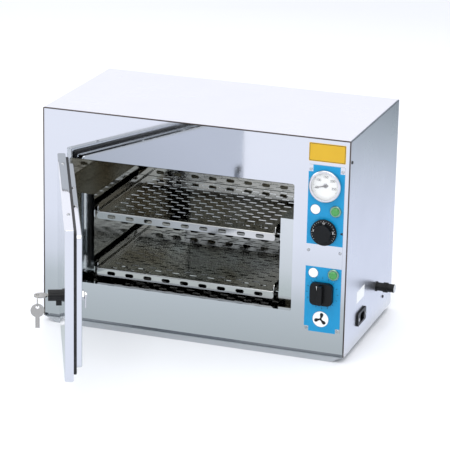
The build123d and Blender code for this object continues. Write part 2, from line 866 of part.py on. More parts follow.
with BuildPart() as lamp_lenses:
    for z in (upper_lamp_height, lower_lamp_height):
        with BuildSketch(facing_front(plate_face - 3.1)):
            disc(lamp_x, z, lamp_barrel_radius + 0.6)
        extrude(amount=3.6)
        with BuildSketch(facing_front(plate_face - 3.1)):
            disc(lamp_x, z, lamp_barrel_radius - 1.2)
        extrude(amount=-6.0)
    fillet(lamp_lenses.edges().group_by(Axis.Y)[0], 2.6)
lamp_lenses.part.label = "lamp_lenses"
export_step(lamp_lenses.part, "parts/lamp_lenses.step")


def control_body(z, depth):
    """A switch body behind the panel, with a bush through it for the knob's shaft."""
    with BuildPart() as body:
        with BuildSketch(facing_front(front + sheet)):
            with Locations((control_x, z)):
                RectangleRounded(control_body_size, control_body_size, 3.0)
        extrude(amount=-depth)
        with BuildSketch(facing_front(front + sheet)):
            disc(control_x, z, bush_radius)
        extrude(amount=sheet + plate_thickness + 1.6)
        with BuildSketch(facing_front(plate_face - 1.6)):
            disc(control_x, z, control_shaft_radius + running_clearance)
        extrude(amount=-(depth * 0.7), mode=Mode.SUBTRACT)
        with Locations((control_x, front + sheet + depth, z + 10.0)):
            with GridLocations(14.0, 1.0, 3, 1):
                Box(6.3, 16.0, 0.8)
    return body.part


def control_shaft(z, depth, knob_reach):
    """A knob's shaft, from inside the switch body to inside the knob."""
    with BuildPart() as shaft:
        with BuildSketch(facing_front(plate_face - knob_lift - knob_reach)):
            disc(control_x, z, control_shaft_radius)
        extrude(amount=-(knob_lift + knob_reach - 1.6 + depth * 0.65))
    return shaft.part


thermostat_body = control_body(thermostat_height, 38.0)
thermostat_body.label = "thermostat_body"
export_step(thermostat_body, "parts/thermostat_body.step")
timer_body = control_body(timer_height, 46.0)
timer_body.label = "timer_body"
export_step(timer_body, "parts/timer_body.step")
thermostat_shaft = control_shaft(thermostat_height, 38.0, 8.0)
thermostat_shaft.label = "thermostat_shaft"
export_step(thermostat_shaft, "parts/thermostat_shaft.step")
timer_shaft = control_shaft(timer_height, 46.0, 8.0)
timer_shaft.label = "timer_shaft"
export_step(timer_shaft, "parts/timer_shaft.step")

# Thermostat knob: a wide skirt for the scale under a smooth round cap
knob_back = plate_face - knob_lift
with BuildPart() as thermostat_knob:
    with BuildSketch(facing_front(knob_back)):
        disc(control_x, thermostat_height, thermostat_knob_radius)
    extrude(amount=4.5)
    chamfer(thermostat_knob.edges().group_by(Axis.Y)[0], 1.6)
    with BuildSketch(facing_front(knob_back)):
        disc(control_x, thermostat_height, thermostat_knob_radius - 8.0)
    extrude(amount=thermostat_knob_depth)
    fillet(thermostat_knob.edges().group_by(Axis.Y)[0], 1.2)
    with BuildSketch(facing_front(knob_back)):
        disc(control_x, thermostat_height, control_shaft_radius)
    extrude(amount=8.0, mode=Mode.SUBTRACT)
thermostat_knob.part.label = "thermostat_knob"
export_step(thermostat_knob.part, "parts/thermostat_knob.step")

# Timer knob: a rounded square with a grip bar across it
with BuildPart() as timer_knob:
    with BuildSketch(facing_front(knob_back)):
        with Locations((control_x, timer_height)):
            RectangleRounded(timer_knob_size, timer_knob_size, 9.0)
    extrude(amount=7.0, taper=6.0)
    with BuildSketch(facing_front(knob_back)):
        with Locations((control_x, timer_height)):
            RectangleRounded(11.0, timer_knob_size - 5.0, 4.0)
    extrude(amount=timer_knob_depth, taper=4.0)
    fillet(timer_knob.edges().group_by(Axis.Y)[0], 1.2)
    with BuildSketch(facing_front(knob_back)):
        disc(control_x, timer_height, control_shaft_radius)
    extrude(amount=8.0, mode=Mode.SUBTRACT)
timer_knob.part.label = "timer_knob"
export_step(timer_knob.part, "parts/timer_knob.step")

# Power inlet: a flanged socket in the right side, its three pins and two screws
with BuildPart() as power_inlet:
    with BuildSketch(facing_right(right)):
        with Locations((inlet_y, inlet_height)):
            RectangleRounded(inlet_width, inlet_tall, 4.0)
    extrude(amount=inlet_proud)
    with BuildSketch(facing_right(right)):
        with Locations((inlet_y, inlet_height)):
            Rectangle(27.5, 20.0)
    extrude(amount=-22.0)
    with BuildSketch(facing_right(right + inlet_proud)) as socket_shape:
        with Locations((inlet_y, inlet_height)):
            Rectangle(24.0, 16.0)
        chamfer(socket_shape.vertices().group_by(Axis.Y)[-1], 4.0)
    extrude(amount=-17.0, mode=Mode.SUBTRACT)
    with BuildSketch(facing_right(right + inlet_proud)):
        for y in inlet_screw_y:
            disc(y, inlet_height, screw_hole_radius)
    extrude(amount=-inlet_proud, mode=Mode.SUBTRACT)
power_inlet.part.label = "power_inlet"
export_step(power_inlet.part, "parts/power_inlet.step")

with BuildPart() as inlet_pins:
    with BuildSketch(facing_right(right + inlet_proud - 17.0)):
        for y, z in ((-7.0, -2.0), (0.0, 2.0), (7.0, -2.0)):
            with Locations((inlet_y + y, inlet_height + z)):
                Rectangle(2.0, 4.0)
    extrude(amount=10.5)
inlet_pins.part.label = "inlet_pins"
export_step(inlet_pins.part, "parts/inlet_pins.step")

# Safety thermostat: a stub in the right side with a cap that turns
with BuildPart() as safety_thermostat:
    with BuildSketch(facing_right(right)):
        disc(reset_y, reset_height, reset_radius)
    extrude(amount=reset_stub_length)
    with BuildSketch(facing_right(right)):
        disc(reset_y, reset_height, reset_collar_radius)
    extrude(amount=2.0)
    with BuildSketch(facing_right(right)):
        disc(reset_y, reset_height, reset_radius - 1.3)
    extrude(amount=-20.0)
    with BuildSketch(facing_right(right - sheet)):
        disc(reset_y, reset_height, reset_collar_radius + 1.0)
    extrude(amount=-3.0)
    with BuildSketch(facing_right(right)):
        disc(reset_y, reset_height, 3.0)
    extrude(amount=reset_stub_length + 6.0)
safety_thermostat.part.label = "safety_thermostat"
export_step(safety_thermostat.part, "parts/safety_thermostat.step")

cap_start = right + reset_stub_length + seat_gap
with BuildPart() as safety_cap:
    with BuildSketch(facing_right(cap_start)):
        disc(reset_y, reset_height, reset_radius)
    extrude(amount=reset_length - reset_stub_length - seat_gap)
    fillet(safety_cap.edges().group_by(Axis.X)[-1], 1.2)
    with BuildSketch(facing_right(cap_start)):
        disc(reset_y, reset_height, reset_collar_radius)
        with Locations((reset_y, reset_height)):
            with PolarLocations(reset_collar_radius + 0.3, 18):
                Circle(0.8, mode=Mode.SUBTRACT)
    extrude(amount=8.0)
    with BuildSketch(facing_right(cap_start)):
        disc(reset_y, reset_height, 3.0 + running_clearance)
    extrude(amount=8.0, mode=Mode.SUBTRACT)
safety_cap.part.label = "safety_cap"
export_step(safety_cap.part, "parts/safety_cap.step")

# Screws in the cabinet, grouped by what they hold
with BuildPart() as plate_screws:
    for x, z in plate_screw_places:
        add(screw_at(Plane(origin=(x, plate_face, z), z_dir=(0, -1, 0)), 6.0))
plate_screws.part.label = "plate_screws"
export_step(plate_screws.part, "parts/plate_screws.step")

with BuildPart() as cover_screws:
    for y, z in cover_screw_places:
        add(screw_at(Plane(origin=(right, y, z), z_dir=(1, 0, 0)), 5.0))
        add(screw_at(Plane(origin=(left, y, z), z_dir=(-1, 0, 0)), 5.0))
cover_screws.part.label = "cover_screws"
export_step(cover_screws.part, "parts/cover_screws.step")

with BuildPart() as back_screws:
    for x, z in back_screw_places:
        add(screw_at(Plane(origin=(x, back, z), z_dir=(0, 1, 0)), 3.2))
back_screws.part.label = "back_screws"
export_step(back_screws.part, "parts/back_screws.step")

with BuildPart() as inlet_screws:
    for y in inlet_screw_y:
        place = (right + inlet_proud, y, inlet_height)
        add(screw_at(Plane(origin=place, z_dir=(1, 0, 0)), inlet_proud + 5.0))
inlet_screws.part.label = "inlet_screws"
export_step(inlet_screws.part, "parts/inlet_screws.step")

# Door planes

def door_face(depth):
    """A sketch plane at a depth behind the door's outer face: x along the door, y up."""
    place = pin + outward * (hinge_offset - depth)
    return Plane(origin=place, x_dir=along, z_dir=outward)


def door_plan(z):
    """A level sketch plane at z on the pin: x along the door, y into the door."""
    return Plane(origin=(pin.X, pin.Y, z), x_dir=along, z_dir=(0, 0, 1))


def door_edge_plane(x, depth, z, up):
    """A plane on the door's upper or lower edge, for a screw."""
    place = pin + along * x + outward * (hinge_offset - depth) + Vector(0, 0, z)
    return Plane(origin=place, z_dir=(0, 0, up))


# Places that the hinge leaves and the door's screws share
knuckle_pitch = hinge_length / 5
knuckle_height = knuckle_pitch - seat_gap
door_screw_places = [
    (x, pan_depth * 0.67, z, up)
    for x in (door_start + 66.0, door_end - 82.5)
    for z, up in ((door_top, 1), (door_bottom, -1))
]
plug_screw_places = [
    (x, plug_face - 5.5, z, up)
    for x in (plug_start + 150.5, plug_end - 155.5)
    for z, up in ((plug_top, 1), (plug_bottom, -1))
]


def knuckle_bottom(middle, number):
    """The height where a knuckle starts, counted from the hinge's lower end."""
    return middle - hinge_length / 2 + number * knuckle_pitch + seat_gap / 2


# Door's outer pan
with BuildPart() as door_outer_pan:
    with BuildSketch(door_face(pan_depth)):
        rounded_span(door_start, door_end, door_bottom, door_top, 1.5)
    extrude(amount=pan_depth)
    outer_edges = door_outer_pan.faces().sort_by(Axis(pin, outward))[-1].edges()
    fillet(outer_edges, pan_radius)
    with BuildSketch(door_face(pan_depth)):
        span(
            door_start + sheet,
            door_end - sheet,
            door_bottom + sheet,
            door_top - sheet,
        )
    extrude(amount=pan_depth - sheet, mode=Mode.SUBTRACT)
    with BuildSketch(door_face(sheet)):
        disc(lock_x, lock_height, lock_barrel_radius + seat_gap / 2)
    extrude(amount=sheet, mode=Mode.SUBTRACT)
    for middle in hinge_middles:
        for number in (1, 3):
            z = knuckle_bottom(middle, number) - seat_gap
            with BuildSketch(door_plan(z)):
                span(door_start - 1.0, door_start + sheet, -0.4, 1.5)
            extrude(amount=knuckle_height + 2 * seat_gap, mode=Mode.SUBTRACT)
    for x, depth, z, up in door_screw_places:
        with BuildSketch(door_edge_plane(x, depth, z, up)):
            Circle(screw_hole_radius)
        extrude(amount=-sheet, mode=Mode.SUBTRACT)
door_outer_pan.part.label = "door_outer_pan"
export_step(door_outer_pan.part, "parts/door_outer_pan.step")

# Door's inner pan: a flange on the outer pan and a plug that goes into the opening
with BuildPart() as door_inner_pan:
    with BuildSketch(door_face(plug_face)):
        rounded_span(plug_start, plug_end, plug_bottom, plug_top, plug_radius)
    extrude(amount=plug_face - flange_face + sheet / 2)
    face_edges = door_inner_pan.faces().sort_by(Axis(pin, outward))[0].edges()
    fillet(face_edges, pan_radius)
    with BuildSketch(door_face(flange_face)):
        span(
            door_start + flange_inset,
            door_end - flange_inset,
            door_bottom + flange_inset,
            door_top - flange_inset,
        )
    extrude(amount=sheet)
    with BuildSketch(door_face(plug_face - sheet)):
        rounded_span(
            plug_start + sheet,
            plug_end - sheet,
            plug_bottom + sheet,
            plug_top - sheet,
            plug_radius - sheet,
        )
    extrude(amount=plug_face - sheet - pan_depth, mode=Mode.SUBTRACT)
    with BuildSketch(door_face(plug_face)):
        disc(lock_x, lock_height, lock_barrel_radius + seat_gap / 2)
    extrude(amount=sheet, mode=Mode.SUBTRACT)
    for x, depth, z, up in plug_screw_places:
        with BuildSketch(door_edge_plane(x, depth, z, up)):
            Circle(screw_hole_radius)
        extrude(amount=-sheet, mode=Mode.SUBTRACT)
door_inner_pan.part.label = "door_inner_pan"
export_step(door_inner_pan.part, "parts/door_inner_pan.step")

# Door's filling
fill_gap = 2.0
with BuildPart() as door_insulation:
    with BuildSketch(door_face(pan_depth - seat_gap)):
        span(
            door_start + sheet + fill_gap,
            door_end - sheet - fill_gap,
            door_bottom + sheet + 4.5,
            door_top - sheet - 4.5,
        )
    extrude(amount=pan_depth - sheet - 2 * seat_gap)
    with BuildSketch(door_face(plug_face - sheet - seat_gap)):
        rounded_span(
            plug_start + sheet + seat_gap,
            plug_end - sheet - seat_gap,
            plug_bottom + sheet + 4.5,
            plug_top - sheet - 4.5,
            plug_radius - sheet,
        )
    extrude(amount=plug_face - sheet - pan_depth)
    with BuildSketch(door_face(plug_face)):
        disc(lock_x, lock_height, lock_barrel_radius + seat_gap)
    extrude(amount=plug_face, mode=Mode.SUBTRACT)
door_insulation.part.label = "door_insulation"
export_step(door_insulation.part, "parts/door_insulation.step")

# Door's gasket: a rubber frame on the flange, round the plug
gasket_start = gap_start - gasket_inset
gasket_end = gap_end + gasket_inset
with BuildPart() as door_gasket:
    with BuildSketch(door_face(flange_face + gasket_depth)):
        rounded_span(
            gasket_start - gasket_width,
            gasket_end + gasket_width,
            opening_bottom - gasket_inset - gasket_width,
            opening_top + gasket_inset + gasket_width,
            8.0,
        )
        rounded_span(
            gasket_start,
            gasket_end,
            opening_bottom - gasket_inset,
            opening_top + gasket_inset,
            2.0,
            mode=Mode.SUBTRACT,
        )
    extrude(amount=gasket_depth)
    sealing_edges = door_gasket.faces().sort_by(Axis(pin, outward))[0].edges()
    fillet(sealing_edges, 1.5)
door_gasket.part.label = "door_gasket"
export_step(door_gasket.part, "parts/door_gasket.step")

# Door's screws
with BuildPart() as door_screws:
    for x, depth, z, up in door_screw_places + plug_screw_places:
        add(screw_at(door_edge_plane(x, depth, z, up), 4.5))
door_screws.part.label = "door_screws"
export_step(door_screws.part, "parts/door_screws.step")

# Hinges: a leaf on the front panel, a leaf inside the door's end, a pin through both
with BuildPart() as hinge_frame_leaves:
    for middle in hinge_middles:
        with BuildSketch(Plane.XY.offset(middle - hinge_length / 2 + seat_gap / 2)):
            span(foot_left, foot_left + hinge_leaf, pin.Y + knuckle_radius + 0.4, front)
            span(foot_left, foot_right, front - hinge_leaf, front)
        extrude(amount=hinge_length - seat_gap)
        for number in (0, 2, 4):
            with BuildSketch(Plane.XY.offset(knuckle_bottom(middle, number))):
                disc(pin.X, pin.Y, knuckle_radius)
                span(foot_left, foot_left + hinge_leaf, pin.Y, pin.Y + knuckle_radius + 0.5)
                disc(pin.X, pin.Y, hinge_pin_radius, mode=Mode.SUBTRACT)
            extrude(amount=knuckle_height)
    with BuildSketch(facing_front(front - hinge_leaf)):
        for z in hinge_screw_heights:
            disc(hinge_screw_x, z, screw_hole_radius)
    extrude(amount=-hinge_leaf, mode=Mode.SUBTRACT)
hinge_frame_leaves.part.label = "hinge_frame_leaves"
export_step(hinge_frame_leaves.part, "parts/hinge_frame_leaves.step")

with BuildPart() as hinge_door_leaves:
    for middle in hinge_middles:
        with BuildSketch(door_plan(middle - hinge_length / 2 + seat_gap / 2)):
            span(door_start + sheet, door_start + sheet + hinge_leaf, -0.4, 8.0)
        extrude(amount=hinge_length - seat_gap)
        for number in (1, 3):
            with BuildSketch(door_plan(knuckle_bottom(middle, number))):
                disc(0, 0, knuckle_radius)
                span(1.0, door_start + sheet + 0.5, -0.1, 1.2)
                disc(0, 0, hinge_pin_radius + running_clearance, mode=Mode.SUBTRACT)
            extrude(amount=knuckle_height)
hinge_door_leaves.part.label = "hinge_door_leaves"
export_step(hinge_door_leaves.part, "parts/hinge_door_leaves.step")

with BuildPart() as hinge_pins:
    for middle in hinge_middles:
        with BuildSketch(Plane.XY.offset(middle - hinge_length / 2)):
            disc(pin.X, pin.Y, hinge_pin_radius)
        extrude(amount=hinge_length)
        with BuildSketch(Plane.XY.offset(middle + hinge_length / 2)):
            disc(pin.X, pin.Y, hinge_pin_radius + 0.9)
        extrude(amount=1.2)
hinge_pins.part.label = "hinge_pins"
export_step(hinge_pins.part, "parts/hinge_pins.step")

with BuildPart() as hinge_screws:
    for z in hinge_screw_heights:
        place = (hinge_screw_x, front - hinge_leaf, z)
        add(screw_at(Plane(origin=place, z_dir=(0, -1, 0)), 6.0))
hinge_screws.part.label = "hinge_screws"
export_step(hinge_screws.part, "parts/hinge_screws.step")

# Lock housing: a fluted head on the door with a step below it, and a barrel through it
with BuildPart() as lock_housing:
    with BuildSketch(door_face(0)):
        with Locations((lock_x, lock_height)):
            Circle(lock_radius)
            with PolarLocations(lock_radius + 0.3, 20):
                Circle(0.8, mode=Mode.SUBTRACT)
    extrude(amount=lock_proud)
    with BuildSketch(door_face(0)):
        disc(lock_x, lock_height, lock_radius + 1.3)
    extrude(amount=3.0)
    with BuildSketch(door_face(-4.0)):
        span(lock_x - 5.0, lock_x + 5.0, lock_height - 15.7, lock_height - lock_radius + 1.5)
    extrude(amount=9.0)
    with BuildSketch(door_face(plug_face + lock_barrel_reach)):
        disc(lock_x, lock_height, lock_barrel_radius)
    extrude(amount=plug_face + lock_barrel_reach)
    with BuildSketch(door_face(plug_face + lock_barrel_reach)):
        disc(lock_x, lock_height, lock_core_radius + running_clearance)
    extrude(amount=plug_face + lock_barrel_reach + lock_proud, mode=Mode.SUBTRACT)
lock_housing.part.label = "lock_housing"
export_step(lock_housing.part, "parts/lock_housing.step")

with BuildPart() as lock_nut:
    with BuildSketch(door_face(plug_face + lock_nut_height)):
        with Locations((lock_x, lock_height)):
            RegularPolygon(9.0, 6)
            Circle(lock_barrel_radius, mode=Mode.SUBTRACT)
    extrude(amount=lock_nut_height)
lock_nut.part.label = "lock_nut"
export_step(lock_nut.part, "parts/lock_nut.step")

# Lock cylinder with the key's slot, and the cam that turns behind the opening's rim
cam_front = front + rim_depth + sheet + cam_clearance - (pin.Y - hinge_offset)
cylinder_front = -lock_proud - 0.5
with BuildPart() as lock_cylinder:
    with BuildSketch(door_face(cam_front)):
        disc(lock_x, lock_height, lock_core_radius)
    extrude(amount=cam_front - cylinder_front)
    with BuildSketch(door_face(cylinder_front)):
        with Locations((lock_x, lock_height)):
            Rectangle(key_blade_width, key_thickness)
    extrude(amount=-(key_blade_length + 1.0), mode=Mode.SUBTRACT)
lock_cylinder.part.label = "lock_cylinder"
export_step(lock_cylinder.part, "parts/lock_cylinder.step")

with BuildPart() as lock_cam:
    with BuildSketch(door_face(cam_front + 2.0)):
        disc(lock_x, lock_height, cam_width / 2)
        span(
            lock_x - cam_width / 2,
            lock_x + cam_width / 2,
            lock_height - cam_length,
            lock_height,
        )
    extrude(amount=2.0)
    with BuildSketch(door_face(cam_front + 3.5)):
        disc(lock_x, lock_height, 3.4)
    extrude(amount=1.5)
lock_cam.part.label = "lock_cam"
export_step(lock_cam.part, "parts/lock_cam.step")

# Key in the lock: its round bow lies level
key_hole_depth = -key_bow_reach - key_hole_offset
with BuildPart() as lock_key:
    with BuildSketch(door_plan(lock_height - key_thickness / 2)):
        disc(lock_x, -key_bow_reach - hinge_offset, key_bow_radius)
        span(
            lock_x - key_blade_width / 2,
            lock_x + key_blade_width / 2,
            -key_bow_reach - hinge_offset,
            cylinder_front + key_blade_length - hinge_offset,
        )
        disc(lock_x, key_hole_depth - hinge_offset, key_hole_radius, mode=Mode.SUBTRACT)
    extrude(amount=key_thickness)
lock_key.part.label = "lock_key"
export_step(lock_key.part, "parts/lock_key.step")

# Wire ring: it hangs over the narrow strip beside the key's hole
strip_edge = sqrt(key_bow_radius**2 - key_hole_offset**2)
strip_middle = (key_hole_radius + strip_edge) / 2
strip_half = (strip_edge - key_hole_radius) / 2
ring_inner = ring_radius - ring_wire_radius - key_play
ring_x = lock_x + strip_middle
ring_z = lock_height + key_thickness / 2 - sqrt(ring_inner**2 - strip_half**2)
ring_place = pin + along * ring_x + outward * (hinge_offset - key_hole_depth)
ring_plane = Plane(origin=ring_place + Vector(0, 0, ring_z), x_dir=along, z_dir=outward)
key_ring = Torus(ring_radius, ring_wire_radius).move(ring_plane.location)
key_ring.label = "key_ring"
export_step(key_ring, "parts/key_ring.step")

# Spare key: it hangs from the ring, edge on to the door
spare_hole_z = ring_z - ring_radius - (key_hole_radius - ring_wire_radius - key_play)
spare_bow_z = spare_hole_z - key_hole_offset
spare_plane = Plane(
    origin=ring_place + along * (key_thickness / 2),
    x_dir=-outward,
    z_dir=along,
)
with BuildPart() as spare_key:
    with BuildSketch(spare_plane):
        disc(0, spare_bow_z, key_bow_radius)
        span(
            -key_blade_width / 2,
            key_blade_width / 2,
            spare_bow_z - key_bow_radius - spare_blade_length,
            spare_bow_z,
        )
        disc(0, spare_hole_z, key_hole_radius, mode=Mode.SUBTRACT)
    extrude(amount=-key_thickness)
spare_key.part.label = "spare_key"
export_step(spare_key.part, "parts/spare_key.step")
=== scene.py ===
"""Looks of a bench-top hot air sterilizer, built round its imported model."""

import logging
import math
from collections.abc import Iterable, Sequence
from dataclasses import dataclass, field
from enum import Enum
from typing import Any

import bmesh
import bpy
from bpy.types import Material, Mesh, Node, NodeSocket, NodeTree, Object
from mathutils import Matrix, Vector


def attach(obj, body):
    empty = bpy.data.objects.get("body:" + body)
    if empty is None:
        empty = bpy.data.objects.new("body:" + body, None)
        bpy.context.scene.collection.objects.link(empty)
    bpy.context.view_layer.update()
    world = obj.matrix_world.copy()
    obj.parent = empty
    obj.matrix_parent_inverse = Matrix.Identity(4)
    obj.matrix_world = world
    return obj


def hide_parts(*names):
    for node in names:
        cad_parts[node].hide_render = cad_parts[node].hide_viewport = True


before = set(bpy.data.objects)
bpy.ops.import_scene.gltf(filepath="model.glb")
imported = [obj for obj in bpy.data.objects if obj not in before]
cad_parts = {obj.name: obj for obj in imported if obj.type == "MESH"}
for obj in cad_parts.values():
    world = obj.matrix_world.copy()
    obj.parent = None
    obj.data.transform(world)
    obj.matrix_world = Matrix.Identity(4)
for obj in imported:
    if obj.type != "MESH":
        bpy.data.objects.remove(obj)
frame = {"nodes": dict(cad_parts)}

log = logging.getLogger("sterilizer")

Point2 = tuple[float, float]
Point3 = tuple[float, float, float]
Box2 = tuple[float, float, float, float]
MM = 0.001

# Planes of the case, in metres. Its plates, screws and prints grow outwards from them.
FRONT_Y = -0.15
PLATE_Y = -0.151
LEAF_Y = -0.1515
BACK_Y = 0.15
SIDE_X = 0.28
INLET_X = 0.2835

# Thicknesses of printed layers, in millimetres.
THIN_INK = 0.06
DISC_INK = 0.08
INK = 0.1
LINE_INK = 0.12

# A profile's point nearer the axis than this, in millimetres, lies on it.
ON_AXIS = 1e-6

# Size that the built-in font needs for numbers of height one.
FONT_SIZE = 1.4

# Points nearer each other than this, in metres, are one.
WELD = 0.000005

# Radius of a slot's ends as a share of its width; a half would leave sides without length.
SLOT_END = 0.49


# ---------------------------------------------------------------- small helpers


def linear(code: str) -> tuple[float, float, float, float]:
    """Turns an sRGB hex colour into linear light.

    Args:
        code: Six hex digits, such as "E6E7EA".

    Returns:
        Red, green, blue and an alpha of one.
    """
    toe, slope, offset, power = 0.04045, 12.92, 0.055, 2.4
    parts = [int(code[i : i + 2], 16) / 255 for i in (0, 2, 4)]
    red, green, blue = (
        c / slope if c <= toe else ((c + offset) / (1 + offset)) ** power for c in parts
    )
    return (red, green, blue, 1.0)


def add_node(
    tree: NodeTree,
    kind: str,
    settings: dict[str, Any] | None = None,
    inputs: dict[str | int, Any] | None = None,
) -> Node:
    """Adds one node to a material or geometry tree.

    Args:
        tree: The tree that gets the node.
        kind: Blender's name of the node's type.
        settings: Properties of the node itself.
        inputs: Input sockets by name or number, each with a value, a socket to link from, or a
            list of sockets where it takes several.

    Returns:
        The new node.
    """
    node = tree.nodes.new(kind)
    for key, value in (settings or {}).items():
        setattr(node, key, value)
    for key, value in (inputs or {}).items():
        socket = node.inputs[key]
        for source in value if isinstance(value, list) else [value]:
            if isinstance(source, NodeSocket):
                tree.links.new(source, socket)
            else:
                socket.default_value = source
    return node


class Axis(Enum):
    """An axis of the frame, by its number."""

    X = 0
    Y = 1
    Z = 2


class Facing(Enum):
    """Which way a flat piece looks: its across direction and its normal."""

    FRONT = ((1, 0, 0), (0, -1, 0))
    RIGHT = ((0, 1, 0), (1, 0, 0))
    LEFT = ((0, -1, 0), (-1, 0, 0))
    BACK = ((-1, 0, 0), (0, 1, 0))
    UP = ((1, 0, 0), (0, 0, 1))


def placed(origin: Sequence[float], across: Sequence[float], normal: Sequence[float]) -> Matrix:
    """Gives the matrix of a plane.

    Args:
        origin: The plane's origin, in metres.
        across: Direction of the plane's own x.
        normal: Direction that the plane faces.

    Returns:
        A matrix that takes the plane's own coordinates to the frame.
    """
    x = Vector(across).normalized()
    z = Vector(normal).normalized()
    y = z.cross(x)
    turn = Matrix((x, y, z)).transposed().to_4x4()
    return Matrix.Translation(Vector(origin)) @ turn


def on_face(facing: Facing, origin: Sequence[float]) -> Matrix:
    """Gives the matrix of a plane with one of the named facings through a point."""
    return placed(origin, *facing.value)


def circle(x: float, y: float, radius: float, count: int = 48) -> list[Point2]:
    """Gives the points of a circle, in the units of its radius."""
    turns = [math.tau * i / count for i in range(count)]
    return [(x + radius * math.cos(turn), y + radius * math.sin(turn)) for turn in turns]


def rounded(
    x0: float, x1: float, y0: float, y1: float, radius: float, corners: str = "abcd", steps: int = 6
) -> list[Point2]:
    """Gives a rectangle with some round corners.

    Args:
        x0: Left side.
        x1: Right side.
        y0: Lower side.
        y1: Upper side.
        radius: Radius of the round corners.
        corners: Which corners are round: a lower left, b lower right, c upper right, d upper left.
        steps: Straight pieces in each round corner.

    Returns:
        The outline's points, anticlockwise.
    """
    points: list[Point2] = []
    places = (
        ("a", x0, y0, 1, 1, 180),
        ("b", x1, y0, -1, 1, 270),
        ("c", x1, y1, -1, -1, 0),
        ("d", x0, y1, 1, -1, 90),
    )
    for name, x, y, sx, sy, start in places:
        if name not in corners or radius <= 0:
            points.append((x, y))
            continue
        cx, cy = x + sx * radius, y + sy * radius
        for i in range(steps + 1):
            angle = math.radians(start + 90 * i / steps)
            points.append((cx + radius * math.cos(angle), cy + radius * math.sin(angle)))
    return points


def shaped(name: str, mesh: Mesh, finish: Material) -> Object:
    """Makes an object of a mesh whose place is already in its vertices.

    Args:
        name: The piece's name.
        mesh: Its mesh, whose faces are then shaded flat.
        finish: Its material.

    Returns:
        The object, linked to the scene.
    """
    mesh.name = name
    mesh.materials.clear()
    mesh.materials.append(finish)
    for face in mesh.polygons:
        face.use_smooth = False
        face.material_index = 0
    piece = bpy.data.objects.new(name, mesh)
    bpy.context.scene.collection.objects.link(piece)
    return piece


def evaluated_mesh(source: Object) -> Mesh:
    """Turns an object into a plain mesh and removes the object.

    Args:
        source: A mesh with its modifiers, a curve or a text.

    Returns:
        The evaluated mesh, in the object's own coordinates.
    """
    bpy.context.view_layer.update()
    graph = bpy.context.evaluated_depsgraph_get()
    mesh = bpy.data.meshes.new_from_object(source.evaluated_get(graph))
    for modifier in list(source.modifiers):
        source.modifiers.remove(modifier)
    bpy.data.objects.remove(source)
    return mesh


def flat_mesh(loops: Sequence[Sequence[Point2]], thickness: float, place: Matrix) -> Mesh:
    """Makes a flat sheet from an outline and its holes.

    Args:
        loops: The outline first, then any holes, in millimetres.
        thickness: The sheet's thickness in millimetres; it grows along the plane's normal.
        place: The plane that the sheet lies on.

    Returns:
        The mesh, in place.
    """
    curve = bpy.data.curves.new("outline", "CURVE")
    curve.dimensions = "2D"
    curve.fill_mode = "BOTH"
    curve.extrude = thickness * MM / 2
    for loop in loops:
        spline = curve.splines.new("POLY")
        spline.points.add(len(loop) - 1)
        for point, (x, y) in zip(spline.points, loop):
            point.co = (x * MM, y * MM, 0.0, 1.0)
        spline.use_cyclic_u = True
    source = bpy.data.objects.new("outline", curve)
    bpy.context.scene.collection.objects.link(source)
    mesh = evaluated_mesh(source)
    mesh.transform(place @ Matrix.Translation((0, 0, thickness * MM / 2)))
    return mesh


def turned_mesh(profile: Sequence[Point2], place: Matrix, count: int) -> Mesh:
    """Turns a closed profile round the plane's normal.

    Args:
        profile: Radius and height of each point, in millimetres, from the axis to the axis.
        place: The plane whose normal is the axis.
        count: Steps round the axis.

    Returns:
        The mesh, in place, with outward normals.
    """
    work = bmesh.new()
    rings = []
    for radius, height in profile:
        if radius < ON_AXIS:
            rings.append([work.verts.new((0, 0, height * MM))])
            continue
        ring = circle(0, 0, radius * MM, count)
        rings.append([work.verts.new((x, y, height * MM)) for x, y in ring])
    for low, high in zip(rings, rings[1:]):
        for i in range(count):
            j = (i + 1) % count
            if len(low) == 1 and len(high) == 1:
                continue
            if len(low) == 1:
                work.faces.new((low[0], high[i], high[j]))
            elif len(high) == 1:
                work.faces.new((low[i], low[j], high[0]))
            else:
                work.faces.new((low[i], low[j], high[j], high[i]))
    if len(rings[0]) > 1 and len(rings[-1]) > 1:
        for i in range(count):
            j = (i + 1) % count
            work.faces.new((rings[-1][i], rings[-1][j], rings[0][j], rings[0][i]))
    bmesh.ops.recalc_face_normals(work, faces=work.faces)
    mesh = bpy.data.meshes.new("turned")
    work.to_mesh(mesh)
    work.free()
    mesh.transform(place)
    return mesh


def joined(meshes: Iterable[Mesh]) -> Mesh:
    """Puts several meshes into one.

    Args:
        meshes: The meshes, each in place.

    Returns:
        One mesh with the faces of them all.
    """
    work = bmesh.new()
    for mesh in meshes:
        work.from_mesh(mesh)
    result = bpy.data.meshes.new("joined")
    work.to_mesh(result)
    work.free()
    return result


def text_mesh(words: str, height: float, place: Matrix, weight: float = 0.0) -> Mesh:
    """Makes plain numbers as a mesh of thin ink.

    Args:
        words: The numbers.
        height: Height of the numbers in millimetres.
        place: Plane whose origin is the middle of the words.
        weight: How much bolder the strokes are, in millimetres.

    Returns:
        The mesh, in place.
    """
    curve = bpy.data.curves.new("numbers", "FONT")
    curve.body = words
    curve.size = height * FONT_SIZE * MM
    curve.align_x = "CENTER"
    curve.align_y = "CENTER"
    curve.extrude = THIN_INK * MM / 2
    curve.offset = weight * MM
    source = bpy.data.objects.new("numbers", curve)
    bpy.context.scene.collection.objects.link(source)
    mesh = evaluated_mesh(source)
    mesh.transform(place @ Matrix.Translation((0, 0, THIN_INK * MM / 2)))
    return mesh


